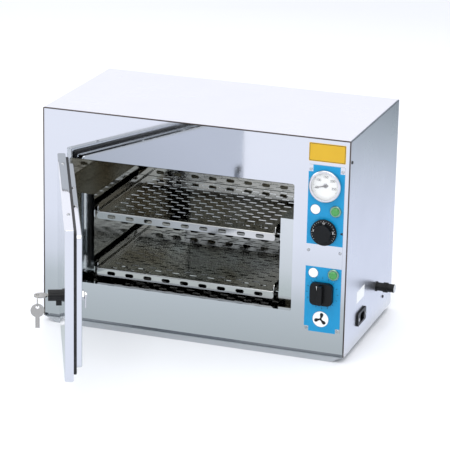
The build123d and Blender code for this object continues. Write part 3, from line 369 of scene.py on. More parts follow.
def bevel_edges(piece: Object, width: float, segments: int = 2, angle: float = 35.0) -> None:
    """Rounds a piece's sharp edges.

    Args:
        piece: The piece, whose mesh is replaced.
        width: Width of the rounding in millimetres.
        segments: Faces across the rounding.
        angle: The least angle of an edge that is rounded, in degrees.
    """
    modifier = piece.modifiers.new("edges", "BEVEL")
    modifier.width = width * MM
    modifier.segments = segments
    modifier.limit_method = "ANGLE"
    modifier.angle_limit = math.radians(angle)
    modifier.harden_normals = False
    graph = bpy.context.evaluated_depsgraph_get()
    mesh = bpy.data.meshes.new_from_object(piece.evaluated_get(graph))
    piece.modifiers.remove(modifier)
    old = piece.data
    piece.data = mesh
    bpy.data.meshes.remove(old)


# ---------------------------------------------------------------- finishes


@dataclass(frozen=True)
class Finish:
    """What every finish has: a name, a colour and a roughness."""

    name: str
    colour: str
    roughness: float

    def start(self) -> tuple[Material, NodeTree, Node, NodeSocket]:
        """Makes the material with its colour and roughness.

        Returns:
            The material, its tree, its shader and the object's own coordinates.
        """
        material = bpy.data.materials.new(self.name)
        material.use_nodes = True
        tree = material.node_tree
        shader = tree.nodes["Principled BSDF"]
        shader.inputs["Base Color"].default_value = linear(self.colour)
        shader.inputs["Roughness"].default_value = self.roughness
        coords = add_node(tree, "ShaderNodeTexCoord").outputs["Object"]
        return material, tree, shader, coords

    def clouds(
        self, tree: NodeTree, coords: NodeSocket, size: Point3, detail: float = 3.0
    ) -> NodeSocket:
        """Adds a cloudy pattern of a real size, stretched where that differs along the axes.

        Args:
            tree: The material's tree.
            coords: The object's own coordinates.
            size: Size of its grains in millimetres along X, Y and Z.
            detail: How much finer detail it has.

        Returns:
            The pattern, from 0 to 1.
        """
        scale = tuple(1 / (s * MM) for s in size)
        stretched = add_node(
            tree, "ShaderNodeVectorMath", {"operation": "MULTIPLY"}, {0: coords, 1: scale}
        )
        noise = add_node(
            tree, "ShaderNodeTexNoise", None,
            {"Vector": stretched.outputs[0], "Scale": 1.0, "Detail": detail},
        )
        return noise.outputs["Fac"]

    def tinted(
        self, tree: NodeTree, pattern: NodeSocket, second: str, start: float = 0.3, end: float = 0.7
    ) -> NodeSocket:
        """Turns the finish's colour into another one where a pattern is high.

        Args:
            tree: The material's tree.
            pattern: The pattern that the colour follows.
            second: The other colour, as hex.
            start: Where in the pattern the change starts.
            end: Where it ends.

        Returns:
            The colour.
        """
        share = add_node(
            tree, "ShaderNodeMapRange", None,
            {"Value": pattern, "From Min": start, "From Max": end, "To Min": 0.0, "To Max": 1.0},
        )
        mixed = add_node(
            tree, "ShaderNodeMix", {"data_type": "RGBA"},
            {0: share.outputs["Result"], 6: linear(self.colour), 7: linear(second)},
        )
        return mixed.outputs[2]

    def past_plane(
        self, tree: NodeTree, coords: NodeSocket, tone: NodeSocket, axis: Axis, limit: float,
        above: bool, colour: str,
    ) -> NodeSocket:
        """Gives another colour to all that lies on one side of a plane across an axis.

        Args:
            tree: The material's tree.
            coords: The object's own coordinates.
            tone: The colour on the near side.
            axis: The axis.
            limit: Where the plane is, in metres.
            above: Whether the far side is where the coordinate is larger.
            colour: The colour on the far side, as hex.

        Returns:
            The colour.
        """
        parts = add_node(tree, "ShaderNodeSeparateXYZ", None, {0: coords})
        side = add_node(
            tree, "ShaderNodeMath", {"operation": "GREATER_THAN" if above else "LESS_THAN"},
            {0: parts.outputs[axis.value], 1: limit},
        )
        mixed = add_node(
            tree, "ShaderNodeMix", {"data_type": "RGBA"},
            {0: side.outputs[0], 6: tone, 7: linear(colour)},
        )
        return mixed.outputs[2]

    def roughen(
        self, tree: NodeTree, shader: Node, pattern: NodeSocket, low: float, high: float,
        start: float = 0.3, end: float = 0.7,
    ) -> None:
        """Lets the roughness follow a pattern.

        Args:
            tree: The material's tree.
            shader: Its shader.
            pattern: The pattern that the roughness follows.
            low: Roughness where the pattern is low.
            high: Roughness where it is high.
            start: Where in the pattern the change starts.
            end: Where it ends.
        """
        rough = add_node(
            tree, "ShaderNodeMapRange", None,
            {"Value": pattern, "From Min": start, "From Max": end, "To Min": low, "To Max": high},
        )
        tree.links.new(rough.outputs["Result"], shader.inputs["Roughness"])

    def raise_surface(
        self, tree: NodeTree, shader: Node, height: NodeSocket, depth: float,
        before: NodeSocket | None = None,
    ) -> NodeSocket:
        """Raises the surface where a pattern is high.

        Args:
            tree: The material's tree.
            shader: Its shader, whose normal is set.
            height: The pattern.
            depth: How far it raises the surface, in millimetres.
            before: The normal of an earlier one, which this one is laid over.

        Returns:
            The new normal.
        """
        inputs: dict[str | int, Any] = {"Height": height, "Distance": depth * MM, "Strength": 1.0}
        if before is not None:
            inputs["Normal"] = before
        bump = add_node(tree, "ShaderNodeBump", None, inputs)
        tree.links.new(bump.outputs["Normal"], shader.inputs["Normal"])
        return bump.outputs["Normal"]

    def material(self) -> Material:
        """Makes the plain finish."""
        return self.start()[0]


@dataclass(frozen=True)
class PolishedSteel(Finish):
    """AISI 304 sheet, bright annealed: a near mirror with faint rolling grain, wipes and a wave.

    Sizes and depths are in millimetres. In front of a plane along Y, given in metres, the sheet is
    painted a dull brown: painted shade that darkens its front edge at the seam.
    """

    hazy: float = 0.14
    grain: Point3 = (220.0, 220.0, 0.5)
    grain_depth: float = 0.0003
    wave: float = 0.05
    second: str = ""
    # Painted shade: in front of this plane along Y, the colour below darkens the front edge at the
    # seam.
    seam_shade_y: float | None = None
    seam_shade_colour: str = "6B625C"
    wipe_size: Point3 = (70.0, 90.0, 70.0)
    wave_size: Point3 = (160.0, 160.0, 130.0)
    grain_haze: float = 0.012

    def material(self) -> Material:
        """Makes the steel: clear at its cleanest, hazier where it was wiped.

        Returns:
            The material.
        """
        material, tree, shader, coords = self.start()
        shader.inputs["Metallic"].default_value = 1.0
        wipes = self.clouds(tree, coords, self.wipe_size, 4.0)
        lines = self.clouds(tree, coords, self.grain, 2.0)
        haze = add_node(
            tree, "ShaderNodeMapRange", None,
            {"Value": wipes, "From Min": 0.42, "From Max": 0.72,
             "To Min": self.roughness, "To Max": self.hazy},
        )
        fine = add_node(
            tree, "ShaderNodeMapRange", None,
            {"Value": lines, "From Min": 0.3, "From Max": 0.7,
             "To Min": -self.grain_haze, "To Max": self.grain_haze},
        )
        total = add_node(
            tree, "ShaderNodeMath", {"operation": "ADD", "use_clamp": True},
            {0: haze.outputs["Result"], 1: fine.outputs["Result"]},
        )
        tree.links.new(total.outputs[0], shader.inputs["Roughness"])
        tone = self.tinted(tree, wipes, self.second or self.colour, 0.35, 0.75)
        # Painted shade: the sheet's front edge at the seam is darkened to a dull brown.
        if self.seam_shade_y is not None:
            edge = self.seam_shade_y
            tone = self.past_plane(tree, coords, tone, Axis.Y, edge, False, self.seam_shade_colour)
        tree.links.new(tone, shader.inputs["Base Color"])
        swell = self.clouds(tree, coords, self.wave_size, 1.0)
        first = self.raise_surface(tree, shader, swell, self.wave)
        self.raise_surface(tree, shader, lines, self.grain_depth, first)
        return material


@dataclass(frozen=True)
class HeatedSteel(PolishedSteel):
    """The same sheet after many hot cycles: straw and brown tints on a darker mirror.

    Below floor_height, in metres, it is darker still.
    """

    tint: str = "8A7560"
    tint_size: Point3 = (90.0, 90.0, 60.0)
    floor_height: float | None = None
    floor_colour: str = "4A4640"

    def material(self) -> Material:
        """Makes the steel with its heat tint.

        Returns:
            The material.
        """
        material = super().material()
        tree = material.node_tree
        shader = tree.nodes["Principled BSDF"]
        coords = add_node(tree, "ShaderNodeTexCoord").outputs["Object"]
        tone = self.tinted(tree, self.clouds(tree, coords, self.tint_size), self.tint, 0.4, 0.66)
        if self.floor_height is not None:
            low = self.floor_height
            tone = self.past_plane(tree, coords, tone, Axis.Z, low, False, self.floor_colour)
        tree.links.new(tone, shader.inputs["Base Color"])
        return material


@dataclass(frozen=True)
class PlatedMetal(Finish):
    """Nickel or chrome plate on brass or zinc: bright, with fine wear."""

    worn: float = 0.3
    rub_size: Point3 = (4.0, 4.0, 4.0)

    def material(self) -> Material:
        """Makes the plate.

        Returns:
            The material.
        """
        material, tree, shader, coords = self.start()
        shader.inputs["Metallic"].default_value = 1.0
        rub = self.clouds(tree, coords, self.rub_size)
        self.roughen(tree, shader, rub, self.roughness, self.worn, 0.45, 0.75)
        return material


@dataclass(frozen=True)
class MouldedPlastic(Finish):
    """Injection-moulded ABS or phenolic: dark, half matt, with a fine spark-eroded grain.

    Sizes and depths are in millimetres. Past tip_start, in metres along X, it has the tip's
    colour.
    """

    grain_size: float = 0.35
    grain_depth: float = 0.006
    rubbed: str = ""
    gloss: float = 0.5
    tip_start: float | None = None
    tip: str = "C3C6C8"
    ior: float = 1.53
    patch_size: float = 9.0

    def material(self) -> Material:
        """Makes the plastic, a little lighter where fingers rub it.

        Returns:
            The material.
        """
        material, tree, shader, coords = self.start()
        shader.inputs["IOR"].default_value = self.ior
        shader.inputs["Specular IOR Level"].default_value = self.gloss
        grain = self.clouds(tree, coords, (self.grain_size,) * 3, 2.0)
        patches = self.clouds(tree, coords, (self.patch_size,) * 3, 2.0)
        self.roughen(tree, shader, patches, self.roughness - 0.06, self.roughness + 0.08)
        if self.rubbed:
            tone = self.tinted(tree, patches, self.rubbed)
            if self.tip_start is not None:
                tone = self.past_plane(tree, coords, tone, Axis.X, self.tip_start, True, self.tip)
            tree.links.new(tone, shader.inputs["Base Color"])
        self.raise_surface(tree, shader, grain, self.grain_depth)
        return material


@dataclass(frozen=True)
class PrintedInk(Finish):
    """Screen-printed enamel: flat colour under a thin gloss, with a trace of orange peel."""

    second: str = ""
    peel_size: Point3 = (1.6, 1.6, 1.6)
    peel_depth: float = 0.004
    cloud_size: Point3 = (55.0, 55.0, 80.0)

    def material(self) -> Material:
        """Makes the ink.

        Returns:
            The material.
        """
        material, tree, shader, coords = self.start()
        shader.inputs["IOR"].default_value = 1.5
        shader.inputs["Specular IOR Level"].default_value = 0.3
        shader.inputs["Coat Weight"].default_value = 0.03
        shader.inputs["Coat Roughness"].default_value = 0.12
        peel = self.clouds(tree, coords, self.peel_size, 1.0)
        uneven = self.clouds(tree, coords, self.cloud_size, 2.0)
        tone = self.tinted(tree, uneven, self.second or self.colour)
        tree.links.new(tone, shader.inputs["Base Color"])
        self.raise_surface(tree, shader, peel, self.peel_depth)
        return material


@dataclass(frozen=True)
class SiliconeRubber(Finish):
    """Moulded silicone: soft black with dust in its pores."""

    dusty: str = "2E2F31"
    dust_size: Point3 = (3.0, 3.0, 3.0)
    dust_depth: float = 0.01

    def material(self) -> Material:
        """Makes the rubber.

        Returns:
            The material.
        """
        material, tree, shader, coords = self.start()
        shader.inputs["IOR"].default_value = 1.43
        dust = self.clouds(tree, coords, self.dust_size, 4.0)
        tone = self.tinted(tree, dust, self.dusty, 0.45, 0.8)
        tree.links.new(tone, shader.inputs["Base Color"])
        self.raise_surface(tree, shader, dust, self.dust_depth)
        return material


@dataclass(frozen=True)
class ClearGlass(Finish):
    """Thin flat glass over the dial."""

    def material(self) -> Material:
        """Makes the glass, nearly all see-through with a clear gloss.

        Returns:
            The material.
        """
        material, _, shader, _ = self.start()
        shader.inputs["IOR"].default_value = 1.5
        shader.inputs["Alpha"].default_value = 0.12
        material.surface_render_method = "BLENDED"
        return material


@dataclass(frozen=True)
class LitLens(Finish):
    """Clear green polycarbonate lens over a lamp: a pale glow in the middle of its facets."""

    glow: str = "6FD06C"
    strength: float = 0.14
    facet_size: float = 1.6
    facet_depth: float = 0.25

    def material(self) -> Material:
        """Makes the lens.

        Returns:
            The material.
        """
        material, tree, shader, coords = self.start()
        shader.inputs["IOR"].default_value = 1.58
        shader.inputs["Transmission Weight"].default_value = 0.25
        shader.inputs["Coat Weight"].default_value = 0.6
        shader.inputs["Coat Roughness"].default_value = 0.05
        shader.inputs["Emission Color"].default_value = linear(self.glow)
        shader.inputs["Emission Strength"].default_value = self.strength
        facets = add_node(
            tree, "ShaderNodeTexVoronoi", {"feature": "F1"},
            {"Vector": coords, "Scale": 1 / (self.facet_size * MM)},
        )
        self.raise_surface(tree, shader, facets.outputs["Distance"], self.facet_depth)
        return material


@dataclass(frozen=True)
class MineralWool(Finish):
    """Packed mineral fibre: matt, with darker gaps between its layers."""

    gap: str = "8C8262"
    fibre_size: Point3 = (6.0, 6.0, 0.6)
    fibre_depth: float = 0.5

    def material(self) -> Material:
        """Makes the wool.

        Returns:
            The material.
        """
        material, tree, shader, coords = self.start()
        fibres = self.clouds(tree, coords, self.fibre_size, 6.0)
        tree.links.new(self.tinted(tree, fibres, self.gap), shader.inputs["Base Color"])
        self.raise_surface(tree, shader, fibres, self.fibre_depth)
        return material


@dataclass
class Finishes:
    """All the finishes of the sterilizer, made once."""

    made: dict[str, Material] = field(default_factory=dict)

    def __getitem__(self, key: str) -> Material:
        """Gives a finish by its key."""
        return self.made[key]

    def make(self) -> "Finishes":
        """Makes every finish of the object.

        Returns:
            These finishes.
        """
        # The rolling grain is too fine to show, so its lines are drawn half a millimetre apart.
        across = (240.0, 240.0, 0.5)
        finishes: dict[str, Finish] = {
            "cover": PolishedSteel(
                "satin_steel_cover", "D9DBE0", 0.28, 0.34, (240.0, 0.9, 240.0), 0.00008, 0.015,
                # Painted shade: the cover's front edge is darkened where it meets the seam.
                seam_shade_y=-0.1492,
            ),
            "panel": PolishedSteel(
                "bright_annealed_steel_panel", "D4D7DB", 0.035, 0.085, across, wave=0.03
            ),
            "door": PolishedSteel(
                "bright_annealed_steel_door", "D4D7DB", 0.04, 0.09, across, wave=0.03
            ),
            "base": PolishedSteel("rolled_steel_base", "B4B8BC", 0.16, 0.26, across),
            "liner": HeatedSteel(
                "heat_tinted_steel_liner", "A6A69F", 0.05, 0.12, across, 0.0001, tint="87806F",
                floor_height=0.0762,
            ),
            "rack": PolishedSteel("bright_steel_rack", "CDD1D0", 0.09, 0.17, across, wave=0.03),
            "tray": PolishedSteel(
                "bright_steel_tray", "CFD0CE", 0.06, 0.13, (200.0, 0.9, 200.0), 0.0001,
                second="C2C2BE",
            ),
            "satin": PolishedSteel("satin_steel", "B8BABC", 0.24, 0.34, across),
            "sheath": HeatedSteel("oxidised_heater_tube", "5A534D", 0.35, 0.45, (3.0, 3.0, 3.0)),
            "chrome": PlatedMetal("chrome_plate", "D6D7D9", 0.06, 0.16),
            "lamp_ring": PlatedMetal("green_tinted_lamp_ring", "86A58F", 0.12, 0.25),
            "zinc": PlatedMetal("zinc_plate", "C3C4C6", 0.22, 0.4),
            "nickel": PlatedMetal("nickel_plated_key", "A6A59F", 0.16, 0.3),
            "brass": PlatedMetal("plated_brass_pin", "C8B27A", 0.2, 0.3),
            "black": MouldedPlastic(
                "black_moulded_plastic", "08090A", 0.36, rubbed="0E0F11", gloss=0.25
            ),
            "cap": MouldedPlastic(
                "black_satin_knob_cap", "0B0D0F", 0.42, rubbed="111417", gloss=0.2
            ),
            "tipped": MouldedPlastic(
                "black_cap_with_light_end", "08090A", 0.36, rubbed="0E0F11", gloss=0.25,
                tip_start=0.3136,
            ),
            "cream": MouldedPlastic("cream_moulded_body", "D8D2C0", 0.45),
            "blue": PrintedInk("blue_printed_enamel", "0092C6", 0.45, "008ABF"),
            "navy": PrintedInk("dark_blue_ink", "12375C", 0.4),
            "white": PrintedInk("white_printed_ink", "F1F3F2", 0.42),
            "ink": PrintedInk("black_printed_ink", "16181A", 0.45),
            "red": PrintedInk("red_printed_ink", "B8322B", 0.45),
            "yellow": PrintedInk("yellow_printed_plate", "D2A922", 0.42, "CBA01C"),
            "dial": PrintedInk("matt_white_dial", "EFF0EE", 0.5),
            "rubber": SiliconeRubber("black_silicone_gasket", "0D0E0F", 0.55),
            "glass": ClearGlass("flat_dial_glass", "FFFFFF", 0.02),
            "lens": LitLens("green_lamp_lens", "2A8B38", 0.12),
            "wool": MineralWool("mineral_wool", "B5A878", 0.9),
            "enamel": MouldedPlastic("black_motor_enamel", "1A1A1C", 0.4, 0.5),
            "ceramic": MouldedPlastic("glazed_ceramic", "E8E4D8", 0.2, 1.0),
            "floor": Finish("pale_floor", "F4F5F7", 0.65),
        }
        for key, finish in finishes.items():
            self.made[key] = finish.material()
        return self


# ---------------------------------------------------------------- geometry node trees


class TreeKind(Enum):
    """Kinds of values that a tree can take from outside."""

    NUMBER = "NodeSocketFloat"
    COUNT = "NodeSocketInt"


class ShapeTree:
    """A Geometry Nodes tree with named inputs, which ends in plain dressed geometry."""

    def __init__(self, name: str, inputs: dict[str, TreeKind]) -> None:
        """Starts the tree.

        Args:
            name: The tree's name.
            inputs: Kind of each input, by its name.
        """
        self.tree = bpy.data.node_groups.new(name, "GeometryNodeTree")
        for way in ("INPUT", "OUTPUT"):
            self.tree.interface.new_socket(
                "Geometry", in_out=way, socket_type="NodeSocketGeometry"
            )
        self.identifiers: dict[str, str] = {}
        for label, kind in inputs.items():
            socket = self.tree.interface.new_socket(label, in_out="INPUT", socket_type=kind.value)
            self.identifiers[label] = socket.identifier
        self.source = self.tree.nodes.new("NodeGroupInput")
        self.sink = self.tree.nodes.new("NodeGroupOutput")

    def value(self, label: str) -> NodeSocket:
        """Gives the socket of a named input."""
        return self.source.outputs[label]

    def add(
        self, kind: str, settings: dict[str, Any] | None = None,
        inputs: dict[str | int, Any] | None = None,
    ) -> Node:
        """Adds a node to the tree."""
        return add_node(self.tree, kind, settings, inputs)

    def end(self, geometry: NodeSocket, finish: Material) -> None:
        """Ends the tree: the instances become plain geometry with a material.

        Args:
            geometry: What the tree has made.
            finish: Its material.
        """
        plain = self.add("GeometryNodeRealizeInstances", None, {"Geometry": geometry})
        dressed = self.add(
            "GeometryNodeSetMaterial", None, {"Geometry": plain.outputs[0], "Material": finish}
        )
        self.tree.links.new(dressed.outputs[0], self.sink.inputs[0])

    def mesh(self, points: Sequence[Point3], values: dict[str, Any], place: Matrix) -> Mesh:
        """Runs the tree.

        Args:
            points: Points that the tree starts from, in metres; none if it needs none.
            values: A value for each named input, in metres.
            place: Where the result goes.

        Returns:
            The result as a plain mesh, in place.
        """
        base = bpy.data.meshes.new("points")
        base.from_pydata(list(points), [], [])
        holder = bpy.data.objects.new("holder", base)
        bpy.context.scene.collection.objects.link(holder)
        modifier = holder.modifiers.new("shape", "NODES")
        modifier.node_group = self.tree
        for label, value in values.items():
            modifier[self.identifiers[label]] = value
        mesh = evaluated_mesh(holder)
        mesh.transform(place)
        return mesh


class SlottedSheetTree(ShapeTree):
    """A flat sheet with staggered rows of round-ended slots, folded nowhere."""

    def __init__(self, finish: Material) -> None:
        """Builds the tree.

        Args:
            finish: The sheet's material.
        """
        numbers = (
            "Width", "Depth", "Thickness", "Corner", "Slot Length", "Slot Width", "Pitch",
            "Row Pitch", "Stagger",
        )
        inputs = {label: TreeKind.NUMBER for label in numbers}
        inputs.update({label: TreeKind.COUNT for label in ("Columns", "Rows")})
        super().__init__("slotted_sheet", inputs)
        round_end = self.add(
            "ShaderNodeMath", {"operation": "MULTIPLY"}, {0: self.value("Slot Width"), 1: SLOT_END}
        )
        slot = self.outline("Slot Length", "Slot Width", round_end.outputs[0], 5)
        rim = self.outline("Width", "Depth", self.value("Corner"), 6)
        slots = self.add(
            "GeometryNodeInstanceOnPoints", None, {"Points": self.places(), "Instance": slot}
        )
        plain = self.add("GeometryNodeRealizeInstances", None, {"Geometry": slots.outputs[0]})
        loops = self.add("GeometryNodeJoinGeometry", None, {0: [rim, plain.outputs[0]]})
        filled = self.add(
            "GeometryNodeFillCurve", {"mode": "TRIANGLES"}, {"Curve": loops.outputs[0]}
        )
        thick = self.add("ShaderNodeCombineXYZ", None, {"Z": self.value("Thickness")})
        raised = self.add(
            "GeometryNodeExtrudeMesh", {"mode": "FACES"},
            {"Mesh": filled.outputs[0], "Offset": thick.outputs[0], "Offset Scale": 1.0,
             "Individual": False},
        )
        below = self.add("GeometryNodeFlipFaces", None, {"Mesh": filled.outputs[0]})
        shell = self.add(
            "GeometryNodeJoinGeometry", None, {0: [raised.outputs[0], below.outputs[0]]}
        )
        welded = self.add(
            "GeometryNodeMergeByDistance", None, {"Geometry": shell.outputs[0], "Distance": WELD}
        )
        self.end(welded.outputs[0], finish)

    def outline(self, width: str, height: str, radius: NodeSocket, count: int) -> NodeSocket:
        """Makes a rectangle with round corners.

        Args:
            width: Name of the input that gives its width.
            height: Name of the input that gives its height.
            radius: Radius of its corners.
            count: Straight pieces in each corner.

        Returns:
            The outline's curve.
        """
        sharp = self.add(
            "GeometryNodeCurvePrimitiveQuadrilateral", {"mode": "RECTANGLE"},
            {"Width": self.value(width), "Height": self.value(height)},
        )
        soft = self.add(
            "GeometryNodeFilletCurve", {"mode": "POLY"},
            {"Curve": sharp.outputs[0], "Count": count, "Radius": radius, "Limit Radius": True},
        )
        return soft.outputs[0]

    def places(self) -> NodeSocket:
        """Makes the grid of the slots' middles, with every other row shifted.

        Returns:
            The points.
        """
        spans = []
        for count, pitch in (("Columns", "Pitch"), ("Rows", "Row Pitch")):
            gaps = self.add(
                "ShaderNodeMath", {"operation": "SUBTRACT"}, {0: self.value(count), 1: 1.0}
            )
            span = self.add(
                "ShaderNodeMath", {"operation": "MULTIPLY"},
                {0: self.value(pitch), 1: gaps.outputs[0]},
            )
            spans.append(span.outputs[0])
        grid = self.add(
            "GeometryNodeMeshGrid", None,
            {"Size X": spans[0], "Size Y": spans[1], "Vertices X": self.value("Columns"),
             "Vertices Y": self.value("Rows")},
        )
        index = self.add("GeometryNodeInputIndex").outputs[0]
        row = self.add(
            "ShaderNodeMath", {"operation": "MODULO"}, {0: index, 1: self.value("Rows")}
        )
        odd = self.add("ShaderNodeMath", {"operation": "MODULO"}, {0: row.outputs[0], 1: 2.0})
        side = self.add("ShaderNodeMath", {"operation": "SUBTRACT"}, {0: odd.outputs[0], 1: 0.5})
        step = self.add(
            "ShaderNodeMath", {"operation": "MULTIPLY"},
            {0: self.value("Pitch"), 1: self.value("Stagger")},
        )
        shift = self.add(
            "ShaderNodeMath", {"operation": "MULTIPLY"}, {0: step.outputs[0], 1: side.outputs[0]}
        )
        offset = self.add("ShaderNodeCombineXYZ", None, {"X": shift.outputs[0]})
        moved = self.add(
            "GeometryNodeSetPosition", None,
            {"Geometry": grid.outputs["Mesh"], "Offset": offset.outputs[0]},
        )
        return moved.outputs[0]


class ScatterTree(ShapeTree):
    """Copies of one small piece on given points, each turned further about its own axis."""

    def __init__(self, name: str, piece: Object, finish: Material) -> None:
        """Builds the tree.

        Args:
            name: The tree's name.
            piece: The piece that is copied.
            finish: Its material.
        """
        super().__init__(name, {"Spin": TreeKind.NUMBER})
        shape = self.add("GeometryNodeObjectInfo", None, {"Object": piece})
        index = self.add("GeometryNodeInputIndex").outputs[0]
        own = self.add(
            "ShaderNodeMath", {"operation": "MULTIPLY"}, {0: index, 1: self.value("Spin")}
        )
        spun = self.add("ShaderNodeCombineXYZ", None, {"Z": own.outputs[0]})
        copies = self.add(
            "GeometryNodeInstanceOnPoints", None,
            {"Points": self.source.outputs[0], "Instance": shape.outputs["Geometry"],
             "Rotation": spun.outputs[0]},
        )
        self.end(copies.outputs[0], finish)


class DialMarkTree(ShapeTree):
    """Marks spaced evenly along an arc, each standing along its radius."""

    def __init__(self, finish: Material) -> None:
        """Builds the tree.

        Args:
            finish: The marks' ink.
        """
        numbers = ("Radius", "Start", "Sweep", "Length", "Width", "Height")
        inputs = {label: TreeKind.NUMBER for label in numbers}
        inputs["Marks"] = TreeKind.COUNT
        super().__init__("dial_marks", inputs)
        line = self.add("GeometryNodeMeshLine", {"mode": "OFFSET"}, {"Count": self.value("Marks")})
        index = self.add("GeometryNodeInputIndex").outputs[0]
        last = self.add(
            "ShaderNodeMath", {"operation": "SUBTRACT"}, {0: self.value("Marks"), 1: 1.0}
        )
        share = self.add("ShaderNodeMath", {"operation": "DIVIDE"}, {0: index, 1: last.outputs[0]})
        swept = self.add(
            "ShaderNodeMath", {"operation": "MULTIPLY"},
            {0: share.outputs[0], 1: self.value("Sweep")},
        )
        angle = self.add(
            "ShaderNodeMath", {"operation": "ADD"}, {0: self.value("Start"), 1: swept.outputs[0]}
        )
        place: dict[str | int, Any] = {}
        for axis, operation in (("X", "COSINE"), ("Y", "SINE")):
            part = self.add("ShaderNodeMath", {"operation": operation}, {0: angle.outputs[0]})
            reach = self.add(
                "ShaderNodeMath", {"operation": "MULTIPLY"},
                {0: part.outputs[0], 1: self.value("Radius")},
            )
            place[axis] = reach.outputs[0]
        spot = self.add("ShaderNodeCombineXYZ", None, place)
        points = self.add(
            "GeometryNodeSetPosition", None,
            {"Geometry": line.outputs[0], "Position": spot.outputs[0]},
        )
        size = self.add(
            "ShaderNodeCombineXYZ", None,
            {"X": self.value("Length"), "Y": self.value("Width"), "Z": self.value("Height")},
        )
        mark = self.add("GeometryNodeMeshCube", None, {"Size": size.outputs[0]})
        turn = self.add("ShaderNodeCombineXYZ", None, {"Z": angle.outputs[0]})
        copies = self.add(
            "GeometryNodeInstanceOnPoints", None,
            {"Points": points.outputs[0], "Instance": mark.outputs["Mesh"],
             "Rotation": turn.outputs[0]},
        )
        self.end(copies.outputs[0], finish)


# ---------------------------------------------------------------- what the sub-assemblies share


@dataclass
class Workshop:
    """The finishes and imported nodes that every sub-assembly uses."""

    finishes: Finishes
    nodes: dict[str, Object]

    def dress(self, finishes: dict[str, str]) -> None:
        """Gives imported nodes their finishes.

        Args:
            finishes: Key of each node's finish, by the node's name.
        """
        for node, finish in finishes.items():
            piece = self.nodes[node]
            material = self.finishes[finish]
            if not piece.data.materials:
                piece.data.materials.append(material)
            for slot in piece.material_slots:
                slot.material = material

    def piece(
        self, name: str, mesh: Mesh, finish: str, body: str, slot: str,
        bevel: float = 0.0, replaces: Sequence[str] = (),
    ) -> None:
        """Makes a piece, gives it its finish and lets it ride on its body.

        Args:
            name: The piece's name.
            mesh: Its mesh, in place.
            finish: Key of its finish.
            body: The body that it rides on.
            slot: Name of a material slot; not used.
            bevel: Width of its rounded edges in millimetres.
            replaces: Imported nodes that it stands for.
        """
        made = shaped(name, mesh, self.finishes[finish])
        if bevel:
            bevel_edges(made, bevel)
        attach(made, body)
        if replaces:
            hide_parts(*replaces)


